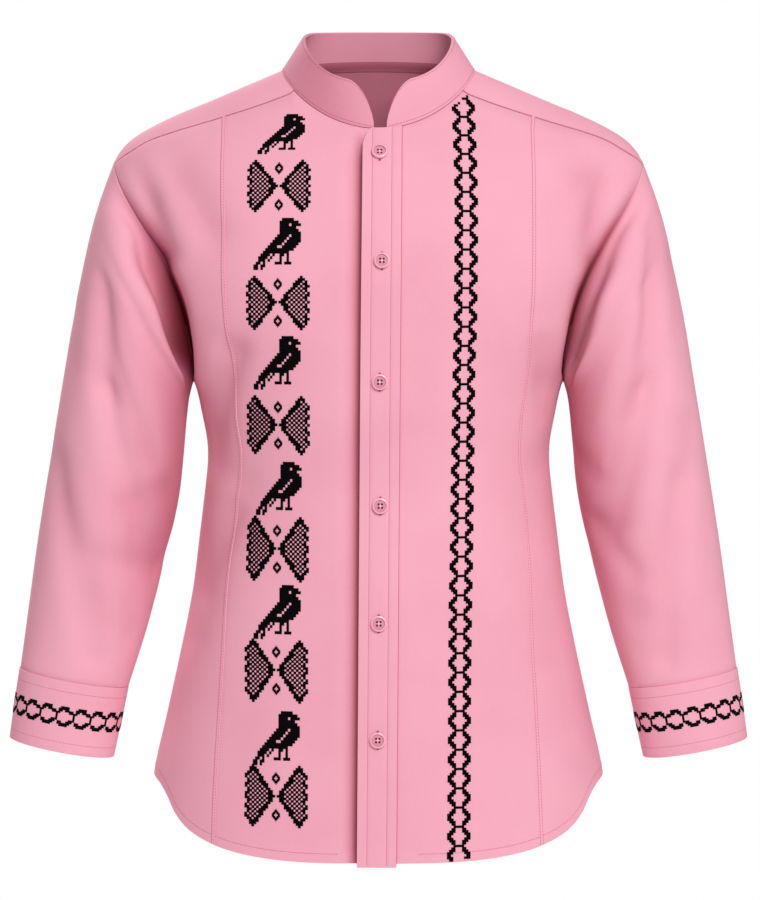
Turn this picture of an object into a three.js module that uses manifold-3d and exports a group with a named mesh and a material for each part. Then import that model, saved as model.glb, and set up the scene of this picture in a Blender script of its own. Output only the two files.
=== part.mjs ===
// A long-sleeved band-collar guayabera shirt, filled out as it is when worn.
// Millimetres, +Z up, the front faces -Y and +X is the wearer's left.
// The origin is the middle of the neck opening, level with the collar seam at the shoulders.
import * as THREE from 'three';
import { mergeVertices } from 'three/addons/utils/BufferGeometryUtils.js';
import Module from 'manifold-3d';

const wasm = await Module();
wasm.setup();

// ---------------------------------------------------------------- driving dimensions

const seamGap = 0.36;
const thickness = { panel: 1.6, sleeve: 1.6, placket: 2.0, collar: 2.6, cuff: 3.0 };

// Rings of the torso. level is the height of a ring at the side of the body, half its reach to the
// side, front and back its depth from the origin's plane. dip is how far the ring dips at the
// centre front and rise how far it rises at the centre back. square is the power of its oval and
// bend that of its dip.
const bodyRings = [
  { level: 0, half: 86.5, front: 72, back: 58, dip: 54, rise: 8, square: 2, bend: 1.5 },
  { level: -17, half: 126.5, front: 80, back: 66, dip: 48.5, rise: 6, square: 2, bend: 1.4 },
  { level: -28, half: 152.5, front: 86, back: 71, dip: 46, rise: 4, square: 2, bend: 1.35 },
  { level: -38.6, half: 178.5, front: 92, back: 76, dip: 44.5, rise: 3, square: 2, bend: 1.3 },
  { level: -49.3, half: 201, front: 98, back: 81, dip: 43.5, rise: 2, square: 2, bend: 1.3 },
  { level: -60, half: 219, front: 102, back: 85, dip: 43, rise: 1, square: 2, bend: 1.3 },
  { level: -70.7, half: 230, front: 105.5, back: 89, dip: 42, rise: 0, square: 2, bend: 1.3 },
  { level: -82, half: 237, front: 108.5, back: 93, dip: 40.5, rise: 0, square: 2, bend: 1.3 },
  { level: -100, half: 243, front: 112.5, back: 99, dip: 37, rise: 0, square: 2, bend: 1.3 },
  { level: -130, half: 244, front: 117.5, back: 105, dip: 29, rise: 0, square: 2, bend: 1.4 },
  { level: -160, half: 238, front: 121.5, back: 110, dip: 20, rise: 0, square: 2, bend: 1.6 },
  { level: -187, half: 226, front: 124, back: 112, dip: 13, rise: 0, square: 2, bend: 1.8 },
  { level: -230, half: 200, front: 126, back: 112, dip: 5, rise: 0, square: 2.1, bend: 2 },
  { level: -260, half: 181, front: 126, back: 110, dip: 1.5, rise: 0, square: 2.15, bend: 2 },
  { level: -287, half: 165, front: 126, back: 107, dip: 0, rise: 0, square: 2.2, bend: 2 },
  { level: -304, half: 159.5, front: 125.5, back: 103, dip: 0, rise: 0, square: 2.2, bend: 2 },
  { level: -331, half: 154, front: 122, back: 97, dip: 0, rise: 0, square: 2.2, bend: 2 },
  { level: -350, half: 153.5, front: 120.5, back: 95, dip: 0, rise: 0, square: 2.2, bend: 2 },
  { level: -371, half: 155.5, front: 119.5, back: 95, dip: 0, rise: 0, square: 2.2, bend: 2 },
  { level: -412, half: 160.5, front: 122, back: 99, dip: 0, rise: 0, square: 2.2, bend: 2 },
  { level: -466, half: 167.5, front: 128, back: 107, dip: 0, rise: 0, square: 2.25, bend: 2 },
  { level: -521, half: 178.4, front: 132, back: 113, dip: 0, rise: 0, square: 2.3, bend: 2 },
  { level: -575, half: 190.3, front: 135.5, back: 116, dip: 0, rise: 0, square: 2.3, bend: 2 },
  { level: -630, half: 202.5, front: 138.5, back: 119, dip: 0, rise: 0, square: 2.3, bend: 2 },
  { level: -700, half: 209, front: 141, back: 121, dip: 0, rise: 0, square: 2.3, bend: 2 },
];

// The armhole is an oval on the torso, round the side at this level. turn is 0 at the armpit,
// 90 at the front, 180 at the shoulder and 270 at the back.
const armhole = {
  level: -184, halfHeight: 103, frontAngle: 35, backAngle: 33, yokeFrontTurn: 172, yokeBackTurn: 220,
};

// How far the armhole seam sinks between the chest and the sleeve, and how wide that valley is.
const armholeValley = [
  { turn: 0, depth: 0 },
  { turn: 14, depth: 2.5 },
  { turn: 30, depth: 11 },
  { turn: 60, depth: 25 },
  { turn: 90, depth: 22 },
  { turn: 130, depth: 9 },
  { turn: 165, depth: 0 },
  { turn: 180, depth: 0 },
];
const valley = { width: 26, mmPerDegree: 2.7, backShare: 0.45, pullIn: 0.2 };

// The front yoke seam, from the neck to the armhole, and the levels of the other long seams.
const yokeFrontSeam = [
  { x: 74.7, z: -20.7 },
  { x: 105, z: -32 },
  { x: 137, z: -42.2 },
  { x: 160, z: -49 },
  { x: 180, z: -54.6 },
  { x: 203, z: -62.2 },
  { x: 222, z: -73 },
  { x: 234, z: -80.8 },
];
const yokeNeckAngle = 60;
const yokeBackLevel = -105;
const princessTopX = 136;

// The princess seams: how far they stand from the centre at each level.
const princessSeam = [
  { level: -20, right: 136.5, left: 135.5 },
  { level: -186, right: 134.5, left: 134.5 },
  { level: -254, right: 130, left: 132 },
  { level: -305, right: 126, left: 126 },
  { level: -342, right: 121, left: 125.5 },
  { level: -392, right: 130, left: 131.5 },
  { level: -430, right: 133.5, left: 133.5 },
  { level: -517, right: 136.5, left: 135.5 },
  { level: -622, right: 142.5, left: 140.5 },
  { level: -690, right: 145, left: 143 },
];

// The curved shirt-tail hem, by the angle from the centre front or the centre back.
const hem = [
  { angle: 0, level: -690 },
  { angle: 18, level: -689 },
  { angle: 31, level: -685 },
  { angle: 42, level: -678 },
  { angle: 52, level: -667.5 },
  { angle: 59, level: -655.5 },
  { angle: 65, level: -642 },
  { angle: 73, level: -633 },
  { angle: 90, level: -629 },
];

// Folds of the torso as seen from the front or from behind: a soft trough between two points.
// A negative depth is a ridge.
const frontFolds = [
  { fromX: -214, fromZ: -94, toX: -190, toZ: -160, width: 14, depth: 5 },
  { fromX: -187, fromZ: -84, toX: -146, toZ: -150, width: 18, depth: 3 },
  { fromX: 208, fromZ: -86, toX: 194, toZ: -140, width: 14, depth: 5 },
  { fromX: 190, fromZ: -84, toX: 158, toZ: -125, width: 17, depth: 2.5 },
  { fromX: -128, fromZ: -255, toX: -150, toZ: -345, width: 15, depth: 3.5 },
  { fromX: -120, fromZ: -372, toX: -170, toZ: -500, width: 19, depth: 4 },
  { fromX: 142, fromZ: -222, toX: 150, toZ: -300, width: 15, depth: 3 },
  { fromX: 92, fromZ: -262, toX: 138, toZ: -410, width: 22, depth: 3 },
  { fromX: 60, fromZ: -470, toX: 108, toZ: -640, width: 26, depth: 2.5 },
];
const backFolds = [
  { fromX: -186, fromZ: -120, toX: -140, toZ: -230, width: 17, depth: 4 },
  { fromX: 192, fromZ: -128, toX: 150, toZ: -215, width: 16, depth: 4 },
  { fromX: -120, fromZ: -300, toX: -40, toZ: -372, width: 17, depth: 4.5 },
  { fromX: 134, fromZ: -290, toX: 62, toZ: -352, width: 16, depth: 4 },
  { fromX: -70, fromZ: -430, toX: -112, toZ: -620, width: 24, depth: 4 },
  { fromX: 44, fromZ: -410, toX: 92, toZ: -640, width: 26, depth: 3.5 },
];

// The folds die out where the cosine of the angle round the body falls below this, at the side.
const foldFade = 0.32;

// Rings of a sleeve, numbered by reach from the armhole to the cuff. Each ring leans: its outer
// edge and its inner edge lie at their own x and z, and middleY and halfDepth give its depth.
const sleeveRings = [
  { reach: 0, outerX: 237, outerZ: -82, innerX: 167.5, innerZ: -287, middleY: -4, halfDepth: 64 },
  { reach: 1, outerX: 247, outerZ: -110, innerX: 169.5, innerZ: -290, middleY: -5, halfDepth: 66 },
  { reach: 2, outerX: 256.5, outerZ: -142, innerX: 171, innerZ: -296, middleY: -6, halfDepth: 67 },
  { reach: 3, outerX: 265.5, outerZ: -182, innerX: 172, innerZ: -306, middleY: -7, halfDepth: 67 },
  { reach: 4, outerX: 274, outerZ: -225, innerX: 173, innerZ: -321, middleY: -8, halfDepth: 66 },
  { reach: 5, outerX: 282, outerZ: -274, innerX: 175, innerZ: -345, middleY: -9, halfDepth: 64 },
  { reach: 6, outerX: 290.5, outerZ: -325, innerX: 178, innerZ: -374, middleY: -10, halfDepth: 62 },
  { reach: 7, outerX: 298.5, outerZ: -375, innerX: 184.5, innerZ: -408, middleY: -12, halfDepth: 59 },
  { reach: 8, outerX: 306, outerZ: -425, innerX: 194.5, innerZ: -449, middleY: -17, halfDepth: 55 },
  { reach: 9, outerX: 313, outerZ: -480, innerX: 208, innerZ: -500, middleY: -25, halfDepth: 48 },
  { reach: 10, outerX: 319.5, outerZ: -531, innerX: 223.5, innerZ: -549, middleY: -33, halfDepth: 39 },
];
// Within this many degrees of the shoulder point the sleeve's edge lies in line with the body's.
const shoulderTop = { reach: 60, fade: 30 };
// Over how much reach a sleeve turns from the armhole's line to its own rings.
const armholeBlend = { outside: 1.6, armpit: 1.4 };

// Folds of the sleeves, from one place on a sleeve to another, by angle round it and reach.
// angle is 0 on the inside of the arm, 90 at the front and 180 on the outside. The two ridges
// of each sleeve stand along the armhole, where the cloth rolls over into the armpit.
const sleeveFolds = [
  { side: 'right', fromAngle: 122, fromReach: 0.7, toAngle: 84, toReach: 1.1, width: 14, depth: -4 },
  { side: 'right', fromAngle: 84, fromReach: 1.1, toAngle: 42, toReach: 1.5, width: 14, depth: -4 },
  { side: 'right', fromAngle: 124, fromReach: 2.6, toAngle: 105, toReach: 4.6, width: 14, depth: 5 },
  { side: 'right', fromAngle: 105, fromReach: 4.6, toAngle: 56, toReach: 7.1, width: 15, depth: 6 },
  { side: 'right', fromAngle: 88, fromReach: 7.9, toAngle: 20, toReach: 7.9, width: 14, depth: 5 },
  { side: 'right', fromAngle: 154, fromReach: 6.4, toAngle: 72, toReach: 9.6, width: 14, depth: 4.5 },
  { side: 'right', fromAngle: 240, fromReach: 3.2, toAngle: 300, toReach: 6.3, width: 16, depth: 6 },
  { side: 'right', fromAngle: 215, fromReach: 6.2, toAngle: 262, toReach: 8.4, width: 15, depth: 5 },
  { side: 'right', fromAngle: 290, fromReach: 7.4, toAngle: 345, toReach: 7.5, width: 14, depth: 5 },
  { side: 'left', fromAngle: 124, fromReach: 0.7, toAngle: 86, toReach: 1.1, width: 14, depth: -4 },
  { side: 'left', fromAngle: 86, fromReach: 1.1, toAngle: 44, toReach: 1.5, width: 14, depth: -4 },
  { side: 'left', fromAngle: 122, fromReach: 2.4, toAngle: 103, toReach: 4.5, width: 15, depth: 5 },
  { side: 'left', fromAngle: 103, fromReach: 4.5, toAngle: 55, toReach: 7, width: 16, depth: 6.5 },
  { side: 'left', fromAngle: 30, fromReach: 6.9, toAngle: 60, toReach: 8, width: 13, depth: 4.5 },
  { side: 'left', fromAngle: 120, fromReach: 6.6, toAngle: 74, toReach: 9.6, width: 14, depth: 4.5 },
  { side: 'left', fromAngle: 238, fromReach: 3, toAngle: 296, toReach: 6.4, width: 17, depth: 6 },
  { side: 'left', fromAngle: 220, fromReach: 6.6, toAngle: 266, toReach: 8.2, width: 15, depth: 5 },
  { side: 'left', fromAngle: 286, fromReach: 7.6, toAngle: 340, toReach: 7.4, width: 14, depth: 5 },
];

// A sleeve laid out flat: how far one degree round it and one step of reach are on the cloth.
const sleeveCloth = { mmPerDegree: 1.05, mmPerReach: 45, lastReach: 10 };
// How soon the folds of a sleeve set in behind the armhole, and die out before the cuff.
const sleeveFoldFade = { armhole: 0.6, cuff: 0.5 };

// Rings of a cuff, by height down it from 0 to 1.
const cuffRings = [
  { height: 0, outerX: 320.4, outerZ: -531.6, innerX: 223.2, innerZ: -549.6, middleY: -33, halfDepth: 39.8 },
  { height: 0.5, outerX: 325, outerZ: -562, innerX: 229.5, innerZ: -580, middleY: -35.5, halfDepth: 38.8 },
  { height: 1, outerX: 329.2, outerZ: -593.5, innerX: 236.3, innerZ: -611.5, middleY: -38, halfDepth: 37.8 },
];

// The collar leans in from the neck seam to its top ring. Its front ends stand apart at the
// centre and their top corners are rounded over cornerReach.
const collar = {
  top: { halfWidth: 67, front: 63, back: 52, sideZ: 34, backZ: 37.5, frontZ: -13, square: 2.5 },
  endRight: -4,
  endLeft: 7.2,
  cornerReach: 24,
  endHeight: 0.14,
};

// The placket strip leans a little across the centre line from top to bottom.
const placket = {
  halfWidth: 17,
  columns: [-17, -14, -9, 0, 8.5, 17],
  topX: 3.4,
  bottomX: -1.6,
  topLevel: -1.2,
  bottomDrop: 3,
  cornerWidth: 10.5,
  cornerDrop: 19,
};
const frontEdge = { right: 3.8, left: 4.2 };

const button = {
  radius: 6.9, rim: 2.6, dish: 1.9, edge: 0.7, rimWidth: 1.5,
  holeRadius: 0.85, holeOffset: 1.55, stand: 0.6, sides: 20, holeSides: 8,
};
const buttonPlaces = [
  { x: 0.5, z: -75.5 },
  { x: 2.2, z: -170 },
  { x: 0.5, z: -273.9 },
  { x: 0.9, z: -381.4 },
  { x: -0.4, z: -482.6 },
  { x: -1.2, z: -582.9 },
];

// How finely the cloth is divided.
const steps = {
  armholeFront: 9, armholeShoulder: 3, armholeBack: 8, sideSeam: 13,
  sidePanel: 6, yokeToPrincess: 2, neckBack: 24, sleeve: 20, cuff: 2, collar: 3,
};
const neckFrontX = [12, 20, 32, 46, 60];

// Small steps over which the slope of a surface is taken.
const probe = { angle: 0.3, level: 0.6, round: 2, reach: 0.1 };

const colour = { cloth: '#f0a5b8', button: '#ea9bb0' };

// ---------------------------------------------------------------- tables and numbers

const radians = THREE.MathUtils.degToRad;
const degrees = THREE.MathUtils.radToDeg;
const mix = THREE.MathUtils.lerp;
const smooth = (value) => THREE.MathUtils.smoothstep(value, 0, 1);

// Every column of a table at one place between its rows, on a smooth curve through the rows.
function readTable(rows, key, place) {
  const last = rows.length - 1;
  const direction = Math.sign(rows[last][key] - rows[0][key]);
  let index = 0;
  while (index < last - 1 && (place - rows[index + 1][key]) * direction > 0) index += 1;
  const start = rows[index];
  const end = rows[index + 1];
  const before = rows[Math.max(index - 1, 0)];
  const after = rows[Math.min(index + 2, last)];
  const span = end[key] - start[key];
  const t = THREE.MathUtils.clamp((place - start[key]) / span, 0, 1);
  const result = {};
  for (const column of Object.keys(start)) {
    if (column === key) continue;
    const startSlope = (end[column] - before[column]) / (end[key] - before[key]);
    const endSlope = (after[column] - start[column]) / (after[key] - start[key]);
    result[column] = mix(start[column], end[column], t * t * (3 - 2 * t))
      + span * t * (1 - t) * (startSlope * (1 - t) - endSlope * t);
  }
  return result;
}

// Distance from a point to a segment, all in the plane.
function distanceToSegment(x, y, fromX, fromY, toX, toY) {
  const runX = toX - fromX;
  const runY = toY - fromY;
  const share = ((x - fromX) * runX + (y - fromY) * runY) / (runX * runX + runY * runY);
  const t = THREE.MathUtils.clamp(share, 0, 1);
  return Math.hypot(x - fromX - runX * t, y - fromY - runY * t);
}

const softTrough = (distance, width) => Math.exp(-((distance / width) ** 2));

// ---------------------------------------------------------------- the torso

// angle is 0 at the centre front, 90 at the wearer's left side and 180 at the centre back.
function ringPoint(angle, level) {
  const ring = readTable(bodyRings, 'level', level);
  const sine = Math.sin(radians(angle));
  const cosine = Math.cos(radians(angle));
  const power = 2 / ring.square;
  const depth = cosine > 0 ? -ring.front : ring.back;
  const rise = cosine > 0 ? -ring.dip : ring.rise;
  return new THREE.Vector3(
    ring.half * Math.sign(sine) * Math.abs(sine) ** power,
    depth * Math.abs(cosine) ** power,
    level + rise * Math.abs(cosine) ** ring.bend,
  );
}

function surfaceNormal(surface, angle, level) {
  const across = surface(angle + probe.angle, level).sub(surface(angle - probe.angle, level));
  const down = surface(angle, level - probe.level).sub(surface(angle, level + probe.level));
  return down.cross(across).normalize();
}

// How far the armhole valley pushes a place on the torso back, or forward behind the side.
function valleyDepth(angle, level) {
  const height = (armhole.level - level) / armhole.halfHeight;
  if (Math.abs(height) >= 1) return 0;
  const turn = degrees(Math.acos(height));
  const fromSide = 90 - Math.abs(((angle + 540) % 360) - 180);
  const reach = fromSide > 0 ? armhole.frontAngle : armhole.backAngle;
  const edge = reach * Math.sin(radians(turn));
  const share = Math.min(Math.abs(fromSide) / edge, 1) * (fromSide > 0 ? 1 : -valley.backShare);
  const gap = Math.max(Math.abs(fromSide) - edge, 0) * valley.mmPerDegree;
  return share * readTable(armholeValley, 'turn', turn).depth * softTrough(gap, valley.width);
}

function bodySurface(angle, level) {
  const point = ringPoint(angle, level);
  const onFront = Math.cos(radians(angle)) > 0;
  let depth = 0;
  for (const fold of onFront ? frontFolds : backFolds) {
    const distance = distanceToSegment(point.x, point.z, fold.fromX, fold.fromZ, fold.toX, fold.toZ);
    depth += fold.depth * softTrough(distance, fold.width);
  }
  depth *= smooth(Math.abs(Math.cos(radians(angle))) / foldFade);
  const sink = valleyDepth(angle, level);
  point.addScaledVector(surfaceNormal(ringPoint, angle, level), -depth);
  point.y += sink;
  point.x -= Math.sign(point.x) * Math.abs(sink) * valley.pullIn;
  return point;
}

// The angle at which the ring of a level reaches a given x on the front.
function angleAtX(x, level) {
  const ring = readTable(bodyRings, 'level', level);
  const share = Math.min(Math.abs(x) / ring.half, 1);
  return Math.sign(x) * degrees(Math.asin(share ** (ring.square / 2)));
}

// The place on the front whose x and z are given, found by halving. A ring never dips by more
// than deepestDip below its own level.
function placeOnFront(x, z) {
  const deepestDip = 60;
  const halvings = 30;
  let low = z - 1;
  let high = z + deepestDip;
  for (let round = 0; round < halvings; round += 1) {
    const level = (low + high) / 2;
    if (ringPoint(angleAtX(x, level), level).z > z) high = level;
    else low = level;
  }
  return { angle: angleAtX(x, low), level: low };
}

function armholePlace(turn, shrink = 0) {
  const sine = Math.sin(radians(turn));
  const reach = sine > 0 ? armhole.frontAngle : armhole.backAngle;
  return {
    angle: 90 - reach * (1 - shrink) * sine,
    level: armhole.level - armhole.halfHeight * (1 - shrink) * Math.cos(radians(turn)),
  };
}

function hemPlace(angle) {
  const fromCentre = Math.abs(angle) > 90 ? 180 - Math.abs(angle) : Math.abs(angle);
  return { angle, level: readTable(hem, 'angle', Math.abs(fromCentre)).level };
}

const spread = (count, from, to) => Array.from({ length: count + 1 }, (_, i) => mix(from, to, i / count));

// A patch of the torso between four lines of places. Rows run down, columns run across. The
// places are blended by their level and by one more value, their angle or their x. The curve of
// the top and of the bottom line dies out a short way into the patch.
function patch(top, bottom, left, right, across, columnShare = (j) => j / (top.length - 1)) {
  const bendPower = 3;
  const rows = left.length - 1;
  const columns = top.length - 1;
  return left.map((leftPlace, i) => top.map((topPlace, j) => {
    const s = columnShare(j);
    const topWeight = (1 - i / rows) ** bendPower;
    const bottomWeight = (i / rows) ** bendPower;
    const place = {};
    for (const key of [across, 'level']) {
      const topBend = topPlace[key] - mix(top[0][key], top[columns][key], s);
      const bottomBend = bottom[j][key] - mix(bottom[0][key], bottom[columns][key], s);
      place[key] = mix(leftPlace[key], right[i][key], s);
      place[key] += topBend * topWeight + bottomBend * bottomWeight;
    }
    return place;
  }));
}

const mirrorPlaces = (grid) => grid.map((row) => row.map((place) => ({ ...place, angle: -place.angle })));

// ---------------------------------------------------------------- closed cloth walls

// A wall of cloth from rows of outer points and the outward normals there. Each cell is split
// along its shorter diagonal.
function wallGeometry(points, normals, wallThickness, closedRound = false) {
  const rows = points.length;
  const columns = points[0].length;
  const positions = [];
  const put = (offset) => {
    for (let i = 0; i < rows; i += 1) {
      for (let j = 0; j < columns; j += 1) {
        positions.push(...points[i][j].clone().addScaledVector(normals[i][j], offset).toArray());
      }
    }
  };
  put(0);
  put(-wallThickness);
  const outer = (i, j) => i * columns + (j % columns);
  const inner = (i, j) => rows * columns + outer(i, j);
  const index = [];
  const quad = (a, b, c, d, turned = false) => (
    turned ? index.push(a, b, d, b, c, d) : index.push(a, b, c, a, c, d));
  const lastColumn = closedRound ? columns : columns - 1;
  const apart = (i, j, i2, j2) => points[i][j % columns].distanceTo(points[i2][j2 % columns]);
  for (let i = 0; i < rows - 1; i += 1) {
    for (let j = 0; j < lastColumn; j += 1) {
      const turned = apart(i, j + 1, i + 1, j) < apart(i, j, i + 1, j + 1);
      quad(outer(i, j), outer(i, j + 1), outer(i + 1, j + 1), outer(i + 1, j), turned);
      quad(inner(i, j), inner(i + 1, j), inner(i + 1, j + 1), inner(i, j + 1), turned);
    }
  }
  for (let j = 0; j < lastColumn; j += 1) {
    quad(outer(0, j + 1), outer(0, j), inner(0, j), inner(0, j + 1));
    quad(outer(rows - 1, j), outer(rows - 1, j + 1), inner(rows - 1, j + 1), inner(rows - 1, j));
  }
  for (let i = 0; i < rows - 1 && !closedRound; i += 1) {
    quad(outer(i, 0), outer(i + 1, 0), inner(i + 1, 0), inner(i, 0));
    quad(outer(i + 1, columns - 1), outer(i, columns - 1), inner(i, columns - 1), inner(i + 1, columns - 1));
  }
  const geometry = new THREE.BufferGeometry();
  geometry.setAttribute('position', new THREE.Float32BufferAttribute(positions, 3));
  geometry.setIndex(signedVolume(positions, index) < 0 ? index.reverse() : index);
  return geometry;
}

function signedVolume(positions, index) {
  const corner = (k) => new THREE.Vector3().fromArray(positions, index[k] * 3);
  let volume = 0;
  for (let k = 0; k < index.length; k += 3) volume += corner(k).dot(corner(k + 1).cross(corner(k + 2))) / 6;
  return volume;
}

// Edge points move in towards their neighbours, so that sewn pieces stay a seam gap apart.
function insetEdges(points, edges) {
  const rows = points.length - 1;
  const columns = points[0].length - 1;
  const pull = (i, j, i2, j2) => {
    const step = points[i2][j2].clone().sub(points[i][j]).setLength(seamGap / 2);
    points[i][j].add(step);
  };
  for (let j = 0; j <= columns; j += 1) {
    if (edges.includes('top')) pull(0, j, 1, j);
    if (edges.includes('bottom')) pull(rows, j, rows - 1, j);
  }
  for (let i = 0; i <= rows; i += 1) {
    if (edges.includes('left')) pull(i, 0, i, 1);
    if (edges.includes('right')) pull(i, columns, i, columns - 1);
  }
  return points;
}

function torsoPiece(grid, edges) {
  const points = grid.map((row) => row.map(({ angle, level }) => bodySurface(angle, level)));
  const normals = grid.map((row) => row.map(({ angle, level }) => surfaceNormal(bodySurface, angle, level)));
  return wallGeometry(insetEdges(points, edges), normals, thickness.panel);
}

// Normals of a grid of points, averaged from the faces round each one, away from a core point.
function gridNormals(points, core, closedRound = false) {
  const rows = points.length - 1;
  const columns = points[0].length;
  const wrap = (j) => (closedRound ? (j + columns) % columns : THREE.MathUtils.clamp(j, 0, columns - 1));
  return points.map((row, i) => row.map((point, j) => {
    const across = points[i][wrap(j + 1)].clone().sub(points[i][wrap(j - 1)]);
    const down = points[Math.min(i + 1, rows)][j].clone().sub(points[Math.max(i - 1, 0)][j]);
    const normal = down.cross(across).normalize();
    return normal.dot(point.clone().sub(core(i))) < 0 ? normal.negate() : normal;
  }));
}

// ---------------------------------------------------------------- lines of the torso pieces

const isLeft = (side) => side === 'left';

// Places down the princess seam: level with the armhole first, then with the side seam.
function princessPlaces(side) {
  const x = (level) => readTable(princessSeam, 'level', level)[side];
  const top = placeOnFront(princessTopX, readTable(yokeFrontSeam, 'x', princessTopX).z);
  const armpitLevel = armhole.level - armhole.halfHeight;
  let hemAngle = hem[3].angle;
  for (let round = 0; round < 6; round += 1) {
    const { level } = hemPlace(hemAngle);
    hemAngle = angleAtX(x(level), level);
  }
  const levels = [
    ...spread(steps.armholeFront, top.level, armpitLevel),
    ...spread(steps.sideSeam, armpitLevel, hemPlace(hemAngle).level).slice(1),
  ];
  return levels.map((level, i) => (
    i === 0 ? { ...top, x: princessTopX } : { angle: angleAtX(x(level), level), level, x: x(level) }));
}

function yokeSeamPlaces() {
  const towardsPrincess = spread(steps.yokeToPrincess, yokeFrontSeam[0].x, princessTopX);
  const lastX = yokeFrontSeam[yokeFrontSeam.length - 1].x;
  const closerAtArmhole = 0.8;
  const towardsArmhole = spread(steps.sidePanel, 0, 1)
    .map((share) => mix(princessTopX, lastX, share ** closerAtArmhole));
  const places = [...towardsPrincess, ...towardsArmhole.slice(1)].map((x) => (
    { x, ...placeOnFront(x, readTable(yokeFrontSeam, 'x', x).z) }));
  places[0] = { angle: yokeNeckAngle, level: 0, x: ringPoint(yokeNeckAngle, 0).x };
  places[places.length - 1] = armholePlace(armhole.yokeFrontTurn);
  return places;
}

const armholeTurns = {
  front: spread(steps.armholeFront, armhole.yokeFrontTurn, 0),
  shoulder: spread(steps.armholeShoulder, armhole.yokeFrontTurn, armhole.yokeBackTurn),
  back: spread(steps.armholeBack, armhole.yokeBackTurn, 360),
};
const sideSeamPlaces = spread(steps.sideSeam, armhole.level - armhole.halfHeight, hemPlace(90).level)
  .map((level) => ({ angle: 90, level }));

function frontSideGrid(side) {
  const princess = princessPlaces(side);
  const outer = [...armholeTurns.front.map((turn) => armholePlace(turn)), ...sideSeamPlaces.slice(1)];
  const top = yokeSeamPlaces().slice(steps.yokeToPrincess);
  const hemAngles = spread(steps.sidePanel, princess[princess.length - 1].angle, 90);
  return patch(top, hemAngles.map(hemPlace), princess, outer, 'angle');
}

const centreX = (level) => mix(placket.topX, placket.bottomX, level / hem[0].level);

// The x of every column of a front centre panel at the neck, from its edge to the yoke.
function neckColumns(side) {
  const edge = isLeft(side) ? frontEdge.left : -frontEdge.right;
  const collarEnd = isLeft(side) ? collar.endLeft : -collar.endRight;
  return [edge, collarEnd, ...neckFrontX];
}

function frontCentreGrid(side) {
  const princess = princessPlaces(side);
  const columns = neckColumns(side);
  const neck = columns.map((x) => ({ x, level: 0 }));
  const top = [...neck, ...yokeSeamPlaces().slice(0, steps.yokeToPrincess + 1)];
  const [princessTop] = princess;
  const princessHem = princess[princess.length - 1];
  const share = (j) => (top[j].x - columns[0]) / (princessTopX - columns[0]);
  const hemX = top.map((_, j) => mix(columns[0], princessHem.x, share(j)));
  const bottom = hemX.map((x) => ({ x, level: hemPlace(angleAtX(x, hem[0].level)).level }));
  bottom[bottom.length - 1] = princessHem;
  const edge = princess.map(({ level }) => ({
    x: columns[0],
    level: hem[0].level * (level - princessTop.level) / (princessHem.level - princessTop.level),
  }));
  const grid = patch(top, bottom, edge, princess, 'x', share);
  return grid.map((row) => row.map(({ x, level }) => ({ angle: angleAtX(x, level), level })));
}

function yokeGrid() {
  const neck = spread(steps.neckBack, yokeNeckAngle, 360 - yokeNeckAngle)
    .map((angle) => ({ angle, level: 0 }));
  const shoulder = armholeTurns.shoulder.map((turn) => armholePlace(turn));
  const otherSide = ({ angle, level }) => ({ angle: 360 - angle, level });
  const backColumns = steps.neckBack - 2 * steps.armholeShoulder;
  const start = shoulder[shoulder.length - 1].angle;
  const backSeam = spread(backColumns, start, 360 - start).map((angle) => ({ angle, level: yokeBackLevel }));
  const outer = [...shoulder.slice(0, -1), ...backSeam, ...shoulder.slice(0, -1).map(otherSide).reverse()];
  const frontSeam = yokeSeamPlaces();
  return patch(neck, outer, frontSeam, frontSeam.map(otherSide), 'angle');
}

function backGrid() {
  const side = [...armholeTurns.back.map((turn) => armholePlace(turn)), ...sideSeamPlaces.slice(1)];
  const otherSide = side.map(({ angle, level }) => ({ angle: 360 - angle, level }));
  const columns = steps.neckBack - 2 * steps.armholeShoulder;
  const top = spread(columns, side[0].angle, otherSide[0].angle)
    .map((angle) => ({ angle, level: yokeBackLevel }));
  const bottom = spread(columns, 90, 270).map(hemPlace);
  return patch(top, bottom, side, otherSide, 'angle');
}

// ---------------------------------------------------------------- sleeves and cuffs

// A point on a leaning ring: angle 0 on the inside of the arm, 90 at the front.
function armRingPoint(ring, angle) {
  const cosine = Math.cos(radians(angle));
  const sine = Math.sin(radians(angle));
  return new THREE.Vector3(
    mix(ring.outerX, ring.innerX, (1 + cosine) / 2),
    ring.middleY - ring.halfDepth * sine,
    mix(ring.outerZ, ring.innerZ, (1 + cosine) / 2),
  );
}

function bareSleevePoint(angle, reach) {
  const point = armRingPoint(readTable(sleeveRings, 'reach', reach), angle);
  const nearArmpit = ((1 + Math.cos(radians(angle))) / 2) ** 4;
  const blend = 1 - smooth(reach / mix(armholeBlend.outside, armholeBlend.armpit, nearArmpit));
  if (blend > 0) {
    const place = armholePlace(angle, seamGap / armhole.halfHeight);
    const seam = bodySurface(place.angle, place.level);
    point.addScaledVector(seam.sub(armRingPoint(sleeveRings[0], angle)), blend);
  }
  return point;
}

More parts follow.
